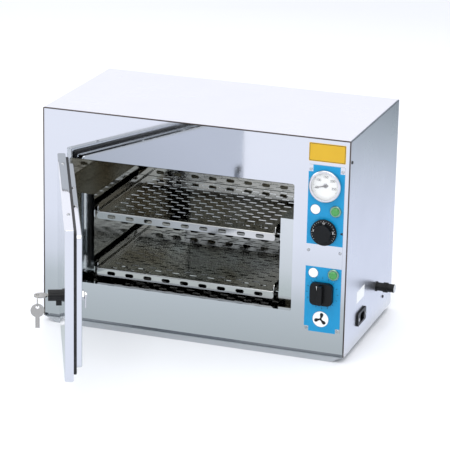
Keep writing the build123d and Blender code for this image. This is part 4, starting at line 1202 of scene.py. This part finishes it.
@dataclass
class Studio:
    """Camera at the photograph's angle, a pale floor and soft light."""

    eye: Point3 = (1.287129, -3.685612, 1.433318)
    right: Point3 = (0.94245593, 0.33376466, 0.01944169)
    down: Point3 = (0.12016913, -0.28391086, -0.9512907)
    forward: Point3 = (-0.31198751, 0.89888585, -0.30768168)
    lens: float = 183.087
    sensor: float = 36.0
    sight: float = 60.0
    floor_reach: float = 14.0
    card_height: float = 0.0015

    def camera(self) -> None:
        """Sets the camera."""
        data = bpy.data.cameras.new("camera")
        data.lens = self.lens
        data.sensor_width = self.sensor
        data.clip_end = self.sight
        camera = bpy.data.objects.new("camera", data)
        bpy.context.scene.collection.objects.link(camera)
        turn = Matrix((Vector(self.right), -Vector(self.down), -Vector(self.forward))).transposed()
        camera.matrix_world = Matrix.Translation(Vector(self.eye)) @ turn.to_4x4()
        bpy.context.scene.camera = camera

    def sheet(self, name: str, corners: Sequence[Point3], material: Material) -> Object:
        """Makes a flat sheet that belongs to the studio.

        Args:
            name: The sheet's name.
            corners: Its four corners in the frame, in metres.
            material: Its material.

        Returns:
            The sheet.
        """
        mesh = bpy.data.meshes.new(name)
        mesh.from_pydata(list(corners), [], [(0, 1, 2, 3)])
        mesh.materials.append(material)
        sheet = bpy.data.objects.new(name, mesh)
        bpy.context.scene.collection.objects.link(sheet)
        return sheet

    def area(self, name: str, place: Point3, target: Point3, size: Point2, power: float) -> None:
        """Hangs one soft box.

        Args:
            name: The lamp's name.
            place: Where it hangs.
            target: What it points at.
            size: Its width and height in metres.
            power: Its power in watts.
        """
        data = bpy.data.lights.new(name, "AREA")
        data.shape = "RECTANGLE"
        data.size, data.size_y = size
        data.energy = power
        lamp = bpy.data.objects.new(name, data)
        lamp.location = place
        lamp.rotation_euler = (Vector(target) - Vector(place)).to_track_quat("-Z", "Y").to_euler()
        bpy.context.scene.collection.objects.link(lamp)

    def card(
        self, name: str, corners: Sequence[Point3], axis: Axis, stops: Sequence[tuple[float, str]],
        glow: float,
    ) -> None:
        """Lays a card that only the polished metal sees: a painted reflection, with colours that
        change along one axis.

        Args:
            name: The card's name.
            corners: Its four corners in the frame, in metres.
            axis: The axis along which its colour changes.
            stops: Places along the axis, in metres, and the colour there.
            glow: How bright its colours are.
        """
        material = bpy.data.materials.new(name)
        material.use_nodes = True
        tree = material.node_tree
        tree.nodes.clear()
        coords = add_node(tree, "ShaderNodeTexCoord").outputs["Object"]
        parts = add_node(tree, "ShaderNodeSeparateXYZ", None, {0: coords})
        low, high = stops[0][0], stops[-1][0]
        share = add_node(
            tree, "ShaderNodeMapRange", None,
            {"Value": parts.outputs[axis.value], "From Min": low, "From Max": high},
        )
        ramp = add_node(tree, "ShaderNodeValToRGB", None, {0: share.outputs["Result"]})
        points = ramp.color_ramp.elements
        while len(points) < len(stops):
            points.new(0.5)
        for point, (place, colour) in zip(points, stops):
            point.position = (place - low) / (high - low)
            point.color = linear(colour)
        light = add_node(
            tree, "ShaderNodeEmission", None, {"Color": ramp.outputs[0], "Strength": glow}
        )
        add_node(tree, "ShaderNodeOutputMaterial", None, {"Surface": light.outputs[0]})
        card = self.sheet(name, corners, material)
        card.visible_camera = False
        card.visible_diffuse = False
        card.visible_shadow = False
        card.visible_transmission = False

    def cards(self) -> None:
        """Lays the painted reflections that the mirrors see: the floor round the object, with
        painted shadow near it, and the walls behind it.
        """
        low = self.card_height
        # Painted shadow: the reflected floor darkens towards the object, as if the object shaded
        # it.
        self.card(
            "front_card", [(-4, -5, low), (4, -5, low), (4, -0.17, low), (-4, -0.17, low)], Axis.Y,
            [(-1.3, "E6E8F3"), (-0.75, "E0E3EF"), (-0.52, "D2D6E0"), (-0.40, "BAC1C6"),
             (-0.17, "A9B0B3")], 1.45,
        )
        self.card(
            "right_card", [(0.3, -0.16, low), (4, -0.16, low), (4, 1.7, low), (0.3, 1.7, low)],
            Axis.Y,
            [(-0.16, "D3D9E8"), (0.7, "CDD3E3"), (1.0, "BFC6D2"), (1.25, "A3ADB4"),
             (1.6, "7F898F")], 1.4,
        )
        self.card(
            "right_wall", [(0.3, 1.7, 0), (4, 1.7, 0), (4, 1.7, 1.6), (0.3, 1.7, 1.6)], Axis.Z,
            [(0.0, "666D73"), (1.6, "8A9098")], 1.3,
        )
        self.card(
            "back_wall", [(-5, 2.6, 0.2), (0.25, 2.6, 0.2), (0.25, 2.6, 4.0), (-5, 2.6, 4.0)],
            Axis.Z, [(0.2, "F0F0F9"), (4.0, "F6F6FC")], 1.38,
        )

    def light(self) -> None:
        """Sets the sky and the soft boxes."""
        scene = bpy.context.scene
        scene.view_settings.view_transform = "Standard"
        world = bpy.data.worlds.new("studio")
        world.use_nodes = True
        back = world.node_tree.nodes["Background"]
        back.inputs["Color"].default_value = linear("F3F5FA")
        back.inputs["Strength"].default_value = 1.0
        scene.world = world
        self.area("top_box", (0.1, -0.3, 2.4), (0.0, 0.0, 0.2), (2.4, 2.4), 30.0)
        self.area("left_box", (-2.2, -1.6, 1.6), (0.0, -0.1, 0.2), (1.6, 1.4), 16.0)
        self.area("front_box", (0.9, -3.2, 2.3), (0.0, -0.6, 0.0), (2.2, 1.4), 24.0)

    def build(self, finishes: Finishes) -> None:
        """Sets up the whole studio.

        Args:
            finishes: The finishes, of which it takes the floor's.
        """
        far = self.floor_reach
        self.camera()
        corners = [(-far, -far, 0), (far, -far, 0), (far, far, 0), (-far, far, 0)]
        self.sheet("floor", corners, finishes["floor"])
        self.light()
        self.cards()


@dataclass(frozen=True)
class DoorSpace:
    """Where the open door stands, and where its screws are, in millimetres."""

    pin: Point2 = (-243.0, -166.6)
    angle: float = 65.0
    offset: float = 3.0
    pan_ends: Point2 = (68.0, 322.5)
    plug_ends: Point2 = (86.0, 308.5)
    pan_screws: Point2 = (69.0, 355.0)
    plug_screws: Point2 = (166.0, 268.0)
    pan_depth: float = 8.509
    plug_depth: float = 22.8

    @property
    def along(self) -> Vector:
        """Direction from the hinge to the free edge."""
        angle = math.radians(self.angle)
        return Vector((math.cos(angle), -math.sin(angle), 0))

    @property
    def outward(self) -> Vector:
        """Direction out of the door's outer face."""
        angle = math.radians(self.angle)
        return Vector((-math.sin(angle), -math.cos(angle), 0))

    def edge(self, z: float, upward: bool) -> Matrix:
        """Gives a level plane on the door's edge: x along it, y into it or out of it.

        Args:
            z: The edge's height.
            upward: Whether the plane looks up.

        Returns:
            The plane's matrix.
        """
        spot = Vector((*self.pin, 0)) + self.outward * self.offset + Vector((0, 0, z))
        return placed(spot * MM, self.along, (0, 0, 1 if upward else -1))


@dataclass(frozen=True)
class ScrewSet:
    """The screws on one face: their places on its plane, in millimetres."""

    name: str
    body: str
    plane: Matrix
    spots: Sequence[Point2]
    replaces: Sequence[str] = ()
    finish: str = "zinc"


@dataclass
class Screws:
    """Pan-head screws with a cross recess, one piece for each face that carries them."""

    shop: Workshop
    radius: float = 2.8
    height: float = 1.6
    flat_share: float = 0.82
    arm_share: float = 0.62
    slot_share: float = 0.16
    steps: int = 20
    spin: float = 1.1

    def head(self) -> Object:
        """Makes one head on the origin, looking up.

        Returns:
            The head, which is only a pattern for the copies.
        """
        ground = Matrix.Identity(4)
        r, h, half = self.radius, self.height, 0.5 * self.height
        flat, arm, wide = self.flat_share * r, self.arm_share * r, self.slot_share * r
        low = turned_mesh([(0, 0), (r, 0), (r, half), (0, half)], ground, self.steps)
        cross = [
            (wide, arm), (-wide, arm), (-wide, wide), (-arm, wide), (-arm, -wide), (-wide, -wide),
            (-wide, -arm), (wide, -arm), (wide, -wide), (arm, -wide), (arm, wide), (wide, wide),
        ]
        loops = [circle(0, 0, flat, self.steps), cross]
        high = flat_mesh(loops, half, Matrix.Translation((0, 0, half * MM)))
        rim = turned_mesh([(flat, half), (r, half), (flat, h)], ground, self.steps)
        return shaped("screw_pattern", joined([low, high, rim]), self.shop.finishes["zinc"])

    def case_sets(self) -> list[ScrewSet]:
        """Gives the sets on the case.

        Returns:
            The sets; what is screwed into the cover's sides is black oxide.
        """
        return [
            ScrewSet(
                "plate_screws", "cabinet", on_face(Facing.FRONT, (0, PLATE_Y, 0)),
                [(x, z) for z in (57.5, 198.5, 342.0) for x in (211.5, 267.5)], ["plate_screws"],
            ),
            ScrewSet(
                "hinge_screws", "cabinet", on_face(Facing.FRONT, (0, LEAF_Y, 0)),
                [(-240.9, z) for z in (110.0, 140.0, 250.5, 280.5)], ["hinge_screws"],
            ),
            ScrewSet(
                "right_cover_screws", "cabinet", on_face(Facing.RIGHT, (SIDE_X, 0, 0)),
                [(-141.0, 358.0), (92.5, 43.0)], ["cover_screws"], "enamel",
            ),
            ScrewSet(
                "left_cover_screws", "cabinet", on_face(Facing.LEFT, (-SIDE_X, 0, 0)),
                [(141.0, 358.0), (-92.5, 43.0)], [], "enamel",
            ),
            ScrewSet(
                "back_screws", "cabinet", on_face(Facing.BACK, (0, BACK_Y, 0)),
                [(272.5, 61.0), (-272.5, 61.0), (272.5, 347.0), (-272.5, 347.0),
                 (140.0, 389.5), (-140.0, 389.5)], ["back_screws"],
            ),
            ScrewSet(
                "inlet_screws", "cabinet", on_face(Facing.RIGHT, (INLET_X, 0, 0)),
                [(-72.5, 54.5), (-32.5, 54.5)], ["inlet_screws"],
            ),
        ]

    def door_sets(self) -> list[ScrewSet]:
        """Gives the sets on the top and bottom edges of the door's two pans.

        Returns:
            The sets.
        """
        space = DoorSpace()
        sets = []
        for pan, ends, spots, depth, stands_for in (
            ("door", space.pan_ends, space.pan_screws, space.pan_depth, ["door_screws"]),
            ("plug", space.plug_ends, space.plug_screws, space.plug_depth, []),
        ):
            top = [(s, depth) for s in spots]
            bottom = [(s, -depth) for s in spots]
            upper, lower = space.edge(ends[1], True), space.edge(ends[0], False)
            sets.append(ScrewSet(f"{pan}_top_screws", "door", upper, top, stands_for))
            sets.append(ScrewSet(f"{pan}_bottom_screws", "door", lower, bottom))
        return sets

    def build(self) -> None:
        """Sets every screw of the object."""
        head = self.head()
        tree = ScatterTree("screw_places", head, self.shop.finishes["zinc"])
        for group in self.case_sets() + self.door_sets():
            points = [(x * MM, y * MM, 0.0) for x, y in group.spots]
            mesh = tree.mesh(points, {"Spin": self.spin}, group.plane)
            self.shop.piece(
                f"{group.name}_set", mesh, group.finish, group.body, "zinc_screws",
                replaces=group.replaces,
            )
        bpy.data.objects.remove(head)


# ---------------------------------------------------------------- sub-assemblies


@dataclass
class Cabinet:
    """The steel case, its base and the bare plates on it."""

    shop: Workshop
    yellow: Box2 = (207.0, 271.5, 356.0, 388.0)
    yellow_gauge: float = 0.5
    yellow_corner: float = 1.2
    yellow_bevel: float = 0.15
    line_insets: Point2 = (1.0, 1.7)
    line_corners: Point2 = (1.0, 0.8)
    rating: Box2 = (-80.0, -33.0, 86.0, 107.0)
    rating_gauge: float = 0.3
    rating_corner: float = 1.5
    rating_bevel: float = 0.1

    def plates(self) -> None:
        """Makes the two plates, which stay bare."""
        shop = self.shop
        x0, x1, z0, z1 = self.yellow
        front = on_face(Facing.FRONT, (0, FRONT_Y, 0))
        sheet = flat_mesh([rounded(*self.yellow, self.yellow_corner)], self.yellow_gauge, front)
        shop.piece(
            "yellow_plate", sheet, "yellow", "cabinet", "printed_plate", bevel=self.yellow_bevel
        )
        rim = [
            rounded(x0 + inset, x1 - inset, z0 + inset, z1 - inset, corner)
            for inset, corner in zip(self.line_insets, self.line_corners)
        ]
        face = on_face(Facing.FRONT, (0, FRONT_Y - self.yellow_gauge * MM, 0))
        line = flat_mesh(rim, THIN_INK, face)
        shop.piece("yellow_plate_line", line, "ink", "cabinet", "printed_plate")
        right = on_face(Facing.RIGHT, (SIDE_X, 0, 0))
        side = flat_mesh([rounded(*self.rating, self.rating_corner)], self.rating_gauge, right)
        shop.piece(
            "side_plate", side, "white", "cabinet", "printed_plate", bevel=self.rating_bevel
        )

    def build(self) -> None:
        """Dresses the case and adds its plates."""
        self.shop.dress({
            "outer_cover": "cover", "front_panel": "panel", "back_panel": "base",
            "base_pan": "base", "support_rails": "satin", "control_partition": "satin",
            "insulation": "wool",
        })
        self.plates()


@dataclass
class Chamber:
    """The hot chamber: liner, racks, runners, heater and fan."""

    shop: Workshop

    def build(self) -> None:
        """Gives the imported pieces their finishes."""
        self.shop.dress({
            "chamber_liner": "liner", "left_rack_wall": "rack", "right_rack_wall": "rack",
            "left_runners": "rack", "right_runners": "rack", "heating_element": "sheath",
            "heater_bushes": "ceramic", "fan_impeller": "satin", "fan_shaft": "satin",
            "fan_motor": "enamel",
        })


@dataclass
class Tray:
    """A perforated tray: floor, slotted lip and back, folded sides; sizes in millimetres."""

    shop: Workshop
    tree: SlottedSheetTree
    node: str
    body: str
    top: float
    left: float = -189.0
    right: float = 142.0
    front: float = -123.0
    back: float = 117.0
    gauge: float = 1.2
    drop: float = 14.0
    side_rise: float = 12.0
    back_rise: float = 16.0
    fold: float = 2.0
    fold_steps: int = 6
    slot_length: float = 16.0
    slot_width: float = 4.6
    pitch: float = 32.5
    row_pitch: float = 13.0
    floor_corner: float = 0.1
    floor_margins: Point2 = (6.0, 12.0)
    strip_slot_length: float = 15.5
    strip_slot_width: float = 6.8
    strip_pitch: float = 34.5
    strip_slots: int = 9
    strip_corner: float = 4.5
    side_start: float = 3.0
    side_corner: float = 8.0
    side_overlap: float = 1.0
    back_overlap: float = 0.4

    @property
    def middle(self) -> Point2:
        """The tray's middle, seen from above."""
        return (self.left + self.right) / 2, (self.front + self.back) / 2

    def floor(self) -> Mesh:
        """Makes the floor with its staggered slots.

        Returns:
            The floor, in place.
        """
        width = self.right - self.left - 2 * self.fold
        depth = self.back - self.front - 2 * self.fold
        across, along = self.floor_margins
        room = width - self.slot_length - self.pitch / 2 - across
        values = {
            "Width": width * MM, "Depth": depth * MM, "Thickness": self.gauge * MM,
            "Corner": self.floor_corner * MM, "Slot Length": self.slot_length * MM,
            "Slot Width": self.slot_width * MM, "Pitch": self.pitch * MM,
            "Row Pitch": self.row_pitch * MM, "Columns": int(room // self.pitch) + 1,
            "Rows": int((depth - along) // self.row_pitch) + 1, "Stagger": 0.5,
        }
        x, y = self.middle
        origin = (x * MM, y * MM, (self.top - self.gauge) * MM)
        return self.tree.mesh([], values, on_face(Facing.UP, origin))

    def strip(self, y: float, low: float, high: float) -> Mesh:
        """Makes the slotted lip or the slotted back.

        Args:
            y: Where its rear face is.
            low: Its lower edge.
            high: Its upper edge.

        Returns:
            The strip, in place.
        """
        values = {
            "Width": (self.right - self.left) * MM, "Depth": (high - low) * MM,
            "Thickness": self.gauge * MM, "Corner": self.strip_corner * MM,
            "Slot Length": self.strip_slot_length * MM, "Slot Width": self.strip_slot_width * MM,
            "Pitch": self.strip_pitch * MM, "Row Pitch": self.row_pitch * MM,
            "Columns": self.strip_slots, "Rows": 1, "Stagger": 0.0,
        }
        origin = (self.middle[0] * MM, y * MM, (low + high) / 2 * MM)
        return self.tree.mesh([], values, on_face(Facing.FRONT, origin))

    def bend(self, length: float, place: Matrix) -> Mesh:
        """Makes a folded edge: a quarter of a tube along the plane's x.

        Args:
            length: The fold's length.
            place: The plane whose x is the fold's axis.

        Returns:
            The folded edge, in place.
        """
        steps = self.fold_steps
        work = bmesh.new()
        rows = []
        for x in (-length / 2, length / 2):
            ring = []
            for radius in (self.fold, self.fold - self.gauge):
                for i in range(steps + 1):
                    angle = math.radians(90 * i / steps)
                    y, z = radius * math.cos(angle) * MM, radius * math.sin(angle) * MM
                    ring.append(work.verts.new((x * MM, y, z)))
            rows.append(ring)
        count = steps + 1
        for i in range(steps):
            work.faces.new((rows[0][i], rows[1][i], rows[1][i + 1], rows[0][i + 1]))
            a, b = count + i, count + i + 1
            work.faces.new((rows[0][b], rows[1][b], rows[1][a], rows[0][a]))
            for row in rows:
                work.faces.new((row[i], row[i + 1], row[b], row[a]))
        bmesh.ops.recalc_face_normals(work, faces=work.faces)
        mesh = bpy.data.meshes.new("bend")
        work.to_mesh(mesh)
        work.free()
        mesh.transform(place)
        return mesh

    def side(self, x: float, facing: Facing) -> Mesh:
        """Makes one folded side with its round front corner.

        Args:
            x: Where its inner face is.
            facing: Which way it looks.

        Returns:
            The side, in place.
        """
        ends, corner = (self.front + self.side_start, self.back), "d"
        if facing is Facing.LEFT:
            ends, corner = (-ends[1], -ends[0]), "c"
        low, high = self.top - self.gauge + self.side_overlap, self.top + self.side_rise
        outline = rounded(*ends, low, high, self.side_corner, corner)
        return flat_mesh([outline], self.gauge, on_face(facing, (x * MM, 0, 0)))

    def bends(self) -> list[Mesh]:
        """Makes the four folds round the floor.

        Returns:
            The front, left, right and back fold, in place.
        """
        x, y = self.middle
        fold, low = self.fold, self.top - self.gauge + self.fold
        wide = self.right - self.left
        deep = self.back - self.front - 2 * fold
        places = (
            (wide, (x, self.front + fold, self.top - fold), (-1, 0, 0), 1),
            (deep, (self.left + fold, y, low), (0, 1, 0), -1),
            (deep, (self.right - fold, y, low), (0, -1, 0), -1),
            (wide, (x, self.back - fold, low), (-1, 0, 0), -1),
        )
        return [
            self.bend(length, placed(Vector(origin) * MM, across, (0, 0, up)))
            for length, origin, across, up in places
        ]

    def build(self) -> None:
        """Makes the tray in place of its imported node."""
        top, low = self.top, self.top - self.gauge
        meshes = [
            self.floor(),
            self.strip(self.front + self.gauge, top - self.drop, top - self.fold),
            self.strip(self.back, low + self.fold - self.back_overlap, top + self.back_rise),
            self.side(self.left + self.gauge, Facing.LEFT),
            self.side(self.right - self.gauge, Facing.RIGHT),
            *self.bends(),
        ]
        self.shop.piece(
            f"{self.node}_sheet", joined(meshes), "tray", self.body, "satin_steel",
            replaces=[self.node],
        )


@dataclass
class Door:
    """The open door: two pans, the gasket between them and the hinges."""

    shop: Workshop

    def build(self) -> None:
        """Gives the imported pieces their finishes."""
        self.shop.dress({
            "door_outer_pan": "door", "door_inner_pan": "door", "door_insulation": "wool",
            "door_gasket": "rubber", "hinge_frame_leaves": "satin", "hinge_door_leaves": "satin",
            "hinge_pins": "satin",
        })


@dataclass
class DoorLock:
    """The lock on the door and the keys that hang from it."""

    shop: Workshop

    def build(self) -> None:
        """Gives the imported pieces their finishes."""
        self.shop.dress({
            "lock_housing": "black", "lock_nut": "zinc", "lock_cylinder": "nickel",
            "lock_cam": "zinc", "lock_key": "nickel", "key_ring": "nickel", "spare_key": "nickel",
        })


@dataclass(frozen=True)
class MarkRow:
    """A row of printed marks along an arc: sizes in millimetres, angles in degrees."""

    radius: float
    start: float
    sweep: float
    count: int
    length: float
    width: float

    def mesh(self, tree: DialMarkTree, place: Matrix) -> Mesh:
        """Makes the marks.

        Args:
            tree: The tree that lays them.
            place: Plane whose origin is the arc's middle.

        Returns:
            The marks, in place.
        """
        values = {
            "Radius": self.radius * MM, "Start": math.radians(self.start),
            "Sweep": math.radians(self.sweep), "Marks": self.count,
            "Length": self.length * MM, "Width": self.width * MM, "Height": INK * MM,
        }
        return tree.mesh([], values, place)


@dataclass(frozen=True)
class NumberRow:
    """Plain numbers along an arc: each with its angle in degrees, sizes in millimetres."""

    numbers: Sequence[tuple[str, float]]
    radius: float
    height: float
    weight: float = 0.0
    turned: bool = False

    def meshes(self, place: Matrix) -> list[Mesh]:
        """Makes the numbers.

        Args:
            place: Plane whose origin is the arc's middle.

        Returns:
            The numbers in place, upright or with their heads outwards.
        """
        meshes = []
        for words, degrees in self.numbers:
            angle = math.radians(degrees)
            reach = self.radius * MM
            spot = place @ Matrix.Translation((reach * math.cos(angle), reach * math.sin(angle), 0))
            if self.turned:
                spot = spot @ Matrix.Rotation(angle - math.pi / 2, 4, "Z")
            meshes.append(text_mesh(words, self.height, spot, self.weight))
        return meshes


@dataclass
class ControlColumn:
    """The printed plate with its dial, lamps and knobs; places and sizes in millimetres."""

    shop: Workshop
    x: float = 238.5
    left: float = 207.5
    right: float = 271.5
    upper: Point2 = (210.0, 350.0)
    lower: Point2 = (52.5, 170.0)
    notch: float = 8.0
    upper_rise: float = 4.0
    lower_rise: float = 1.0
    layer: float = 0.15
    dial_z: float = 315.5
    dial_front: float = 2.3
    dial_hole: float = 25.5
    red_spot: Point2 = (-19.0, 13.5)
    red_half: Point2 = (1.6, 0.5)
    red_turn: float = 144.0
    thermostat_z: float = 233.5
    thermostat_front: float = 7.3
    timer_z: float = 123.5
    timer_front: float = 9.8
    shaft_hole: float = 5.2
    lamp_x: float = 257.5
    lamp_z: Point2 = (272.0, 159.0)
    lamp_hole: float = 6.8
    disc_x: float = 221.5
    disc_radius: float = 9.0
    disc_line: float = 0.6
    lower_disc_drop: float = 0.5
    fan_x: float = 237.0
    fan_z: float = 76.0
    fan_disc: float = 14.5
    fan_line: float = 0.4
    fan_hub: float = 2.3

    def front(self, x: float, z: float, depth: float) -> Matrix:
        """Gives a plane before the control plate, looking forward, depth millimetres from it."""
        return on_face(Facing.FRONT, (x * MM, PLATE_Y - depth * MM, z * MM))

    def printed(self, name: str, mesh: Mesh, ink: str) -> None:
        """Adds a print that stays on the plate."""
        self.shop.piece(name, mesh, ink, "cabinet", "printed_plate")

    def fields(self) -> None:
        """Makes the two blue fields, with corners notched for screws and holes for the controls."""
        a, b, n = self.left, self.right, self.notch
        z0, z1 = self.upper
        step = z1 - n - self.upper_rise
        upper = [
            (a, z0), (b, z0), (b, step), (b - n, step), (b - n, z1), (a + n, z1), (a + n, step),
            (a, step),
        ]
        holes = [
            circle(self.x, self.dial_z, self.dial_hole),
            circle(self.x, self.thermostat_z, self.shaft_hole),
            circle(self.lamp_x, self.lamp_z[0], self.lamp_hole),
        ]
        place = self.front(0, 0, 0)
        self.printed("upper_blue_field", flat_mesh([upper, *holes], self.layer, place), "blue")
        z0, z1 = self.lower
        step = z0 + n + self.lower_rise
        lower = [
            (a, z1), (a, step), (a + n, step), (a + n, z0), (b - n, z0), (b - n, step), (b, step),
            (b, z1),
        ]
        holes = [
            circle(self.x, self.timer_z, self.shaft_hole),
            circle(self.lamp_x, self.lamp_z[1], self.lamp_hole),
        ]
        self.printed("lower_blue_field", flat_mesh([lower, *holes], self.layer, place), "blue")

    def disc(self, name: str, x: float, z: float, radius: float, line: float) -> None:
        """Makes a white disc with a dark outline.

        Args:
            name: The disc's name.
            x: Its middle, across.
            z: Its middle's height.
            radius: Its radius.
            line: Width of its outline.
        """
        place = self.front(x, z, self.layer)
        rim = circle(0, 0, radius)
        self.printed(name, flat_mesh([rim], DISC_INK, place), "white")
        outline = flat_mesh([rim, circle(0, 0, radius - line)], LINE_INK, place)
        self.printed(f"{name}_line", outline, "navy")

    def fan_sign(self) -> None:
        """Makes the plain three-bladed fan sign."""
        place = self.front(self.fan_x, self.fan_z, self.layer + DISC_INK)
        blade = [
            (0.8, -0.9), (3.4, -2.0), (7.6, -3.5), (10.6, -2.6), (11.8, 0.2), (10.9, 2.4),
            (8.2, 3.0), (4.4, 1.6), (0.8, 0.9),
        ]
        meshes = [flat_mesh([circle(0, 0, self.fan_hub, 24)], INK, place)]
        for turn in (78, 198, 318):
            cos, sin = math.cos(math.radians(turn)), math.sin(math.radians(turn))
            spun = [(x * cos - y * sin, x * sin + y * cos) for x, y in blade]
            meshes.append(flat_mesh([spun], INK, place))
        self.printed("fan_sign", joined(meshes), "ink")

    def thermometer(self, marks: DialMarkTree) -> None:
        """Prints the thermometer's scale.

        Args:
            marks: The tree that lays marks in black ink.
        """
        shop = self.shop
        place = self.front(self.x, self.dial_z, self.dial_front)
        fine = MarkRow(radius=21.6, start=210, sweep=-240, count=49, length=1.6, width=0.25)
        coarse = MarkRow(radius=21.0, start=210, sweep=-240, count=9, length=2.8, width=0.5)
        numbers = NumberRow(
            (("50", 195), ("100", 142.5), ("150", 90), ("200", 37.5), ("250", -15)),
            radius=15.4, height=4.2, weight=0.12,
        )
        scale = joined([fine.mesh(marks, place), coarse.mesh(marks, place), *numbers.meshes(place)])
        shop.piece("thermometer_scale", scale, "ink", "cabinet", "white_dial")
        rim = [(0, 0), (4.2, 0), (4.2, 0.25), (3.6, 0.4), (2.6, 0.4), (2.6, 0.0)]
        hub = turned_mesh(rim, place, 40)
        shop.piece("thermometer_hub_ring", hub, "satin", "cabinet", "white_dial")
        spot = Matrix.Translation((self.red_spot[0] * MM, self.red_spot[1] * MM, 0))
        flag = place @ spot @ Matrix.Rotation(math.radians(self.red_turn), 4, "Z")
        x, y = self.red_half
        red = flat_mesh([rounded(-x, x, -y, y, 0.0)], INK, flag)
        shop.piece("thermometer_red_mark", red, "red", "cabinet", "white_dial")

    def thermostat(self, marks: DialMarkTree) -> None:
        """Prints the thermostat knob's scale and its index on the plate.

        Args:
            marks: The tree that lays marks in white ink.
        """
        place = self.front(self.x, self.thermostat_z, self.thermostat_front)
        ticks = MarkRow(radius=20.2, start=215, sweep=-250, count=21, length=1.7, width=0.35)
        numbers = NumberRow(
            (("60", 172), ("120", 90), ("180", 8)), radius=17.2, height=2.8, turned=True
        )
        scale = joined([ticks.mesh(marks, place), *numbers.meshes(place)])
        self.shop.piece("thermostat_scale", scale, "white", "thermostat_control", "white_dial")
        arrow = [(271.0, 230.8), (271.0, 236.2), (265.6, 233.5)]
        index = flat_mesh([arrow], INK, self.front(0, 0, self.layer))
        self.printed("thermostat_index", index, "ink")

    def timer(self, marks: DialMarkTree) -> None:
        """Prints the timer's scale on the plate and the pointer on its knob.

        Args:
            marks: The tree that lays marks in black ink.
        """
        ticks = MarkRow(radius=27.5, start=90, sweep=-337.5, count=16, length=3.0, width=0.8)
        place = self.front(self.x, self.timer_z, self.layer)
        self.printed("timer_scale", ticks.mesh(marks, place), "ink")
        steps, left, top, length, bow, width = 8, -8.5, 14.5, 10.0, 1.52, 1.0
        arc = [
            (left + bow * math.sin(math.pi * i / steps / 2), top - length * i / steps)
            for i in range(steps + 1)
        ]
        inner = [(x + width, z) for x, z in reversed(arc)]
        knob = self.front(self.x, self.timer_z, self.timer_front)
        line = flat_mesh([arc + inner], LINE_INK, knob)
        self.shop.piece("timer_pointer", line, "white", "timer_control", "white_dial")

    def build(self) -> None:
        """Makes the whole column."""
        shop = self.shop
        shop.dress({
            "control_plate": "panel", "thermometer_case": "enamel", "thermometer_bezel": "chrome",
            "thermometer_dial": "dial", "thermometer_needle": "ink", "thermometer_glass": "glass",
            "lamp_bezels": "lamp_ring", "lamp_lenses": "lens", "thermostat_knob": "cap",
            "thermostat_shaft": "satin", "thermostat_body": "cream", "timer_knob": "black",
            "timer_shaft": "satin", "timer_body": "cream",
        })
        black, white = (DialMarkTree(shop.finishes[key]) for key in ("ink", "white"))
        self.fields()
        upper, lower = self.lamp_z[0], self.lamp_z[1] - self.lower_disc_drop
        for name, z in (("upper_sign_disc", upper), ("lower_sign_disc", lower)):
            self.disc(name, self.disc_x, z, self.disc_radius, self.disc_line)
        self.disc("fan_sign_disc", self.fan_x, self.fan_z, self.fan_disc, self.fan_line)
        self.fan_sign()
        self.thermometer(black)
        self.thermostat(white)
        self.timer(black)


@dataclass
class SideFittings:
    """The power inlet and the safety thermostat's cap."""

    shop: Workshop

    def build(self) -> None:
        """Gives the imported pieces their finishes."""
        self.shop.dress({
            "power_inlet": "black", "inlet_pins": "brass", "safety_thermostat": "black",
            "safety_cap": "tipped",
        })


def main() -> None:
    """Builds every sub-assembly in order and reports each one."""
    logging.basicConfig(level=logging.INFO, format="%(name)s: %(message)s")
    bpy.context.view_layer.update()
    finishes = Finishes().make()
    shop = Workshop(finishes, frame["nodes"])
    Studio().build(finishes)
    log.info("studio and camera set")
    Cabinet(shop).build()
    log.info("cabinet dressed")
    Chamber(shop).build()
    log.info("chamber dressed")
    sheets = SlottedSheetTree(finishes["tray"])
    Tray(shop, sheets, "lower_tray", "lower_rack_tray", 104.5).build()
    Tray(shop, sheets, "upper_tray", "upper_rack_tray", 210.0).build()
    log.info("trays made")
    Door(shop).build()
    DoorLock(shop).build()
    log.info("door and lock dressed")
    ControlColumn(shop).build()
    log.info("control column made")
    SideFittings(shop).build()
    Screws(shop).build()
    log.info("fittings and screws set")


if __name__ == "__main__":
    main()
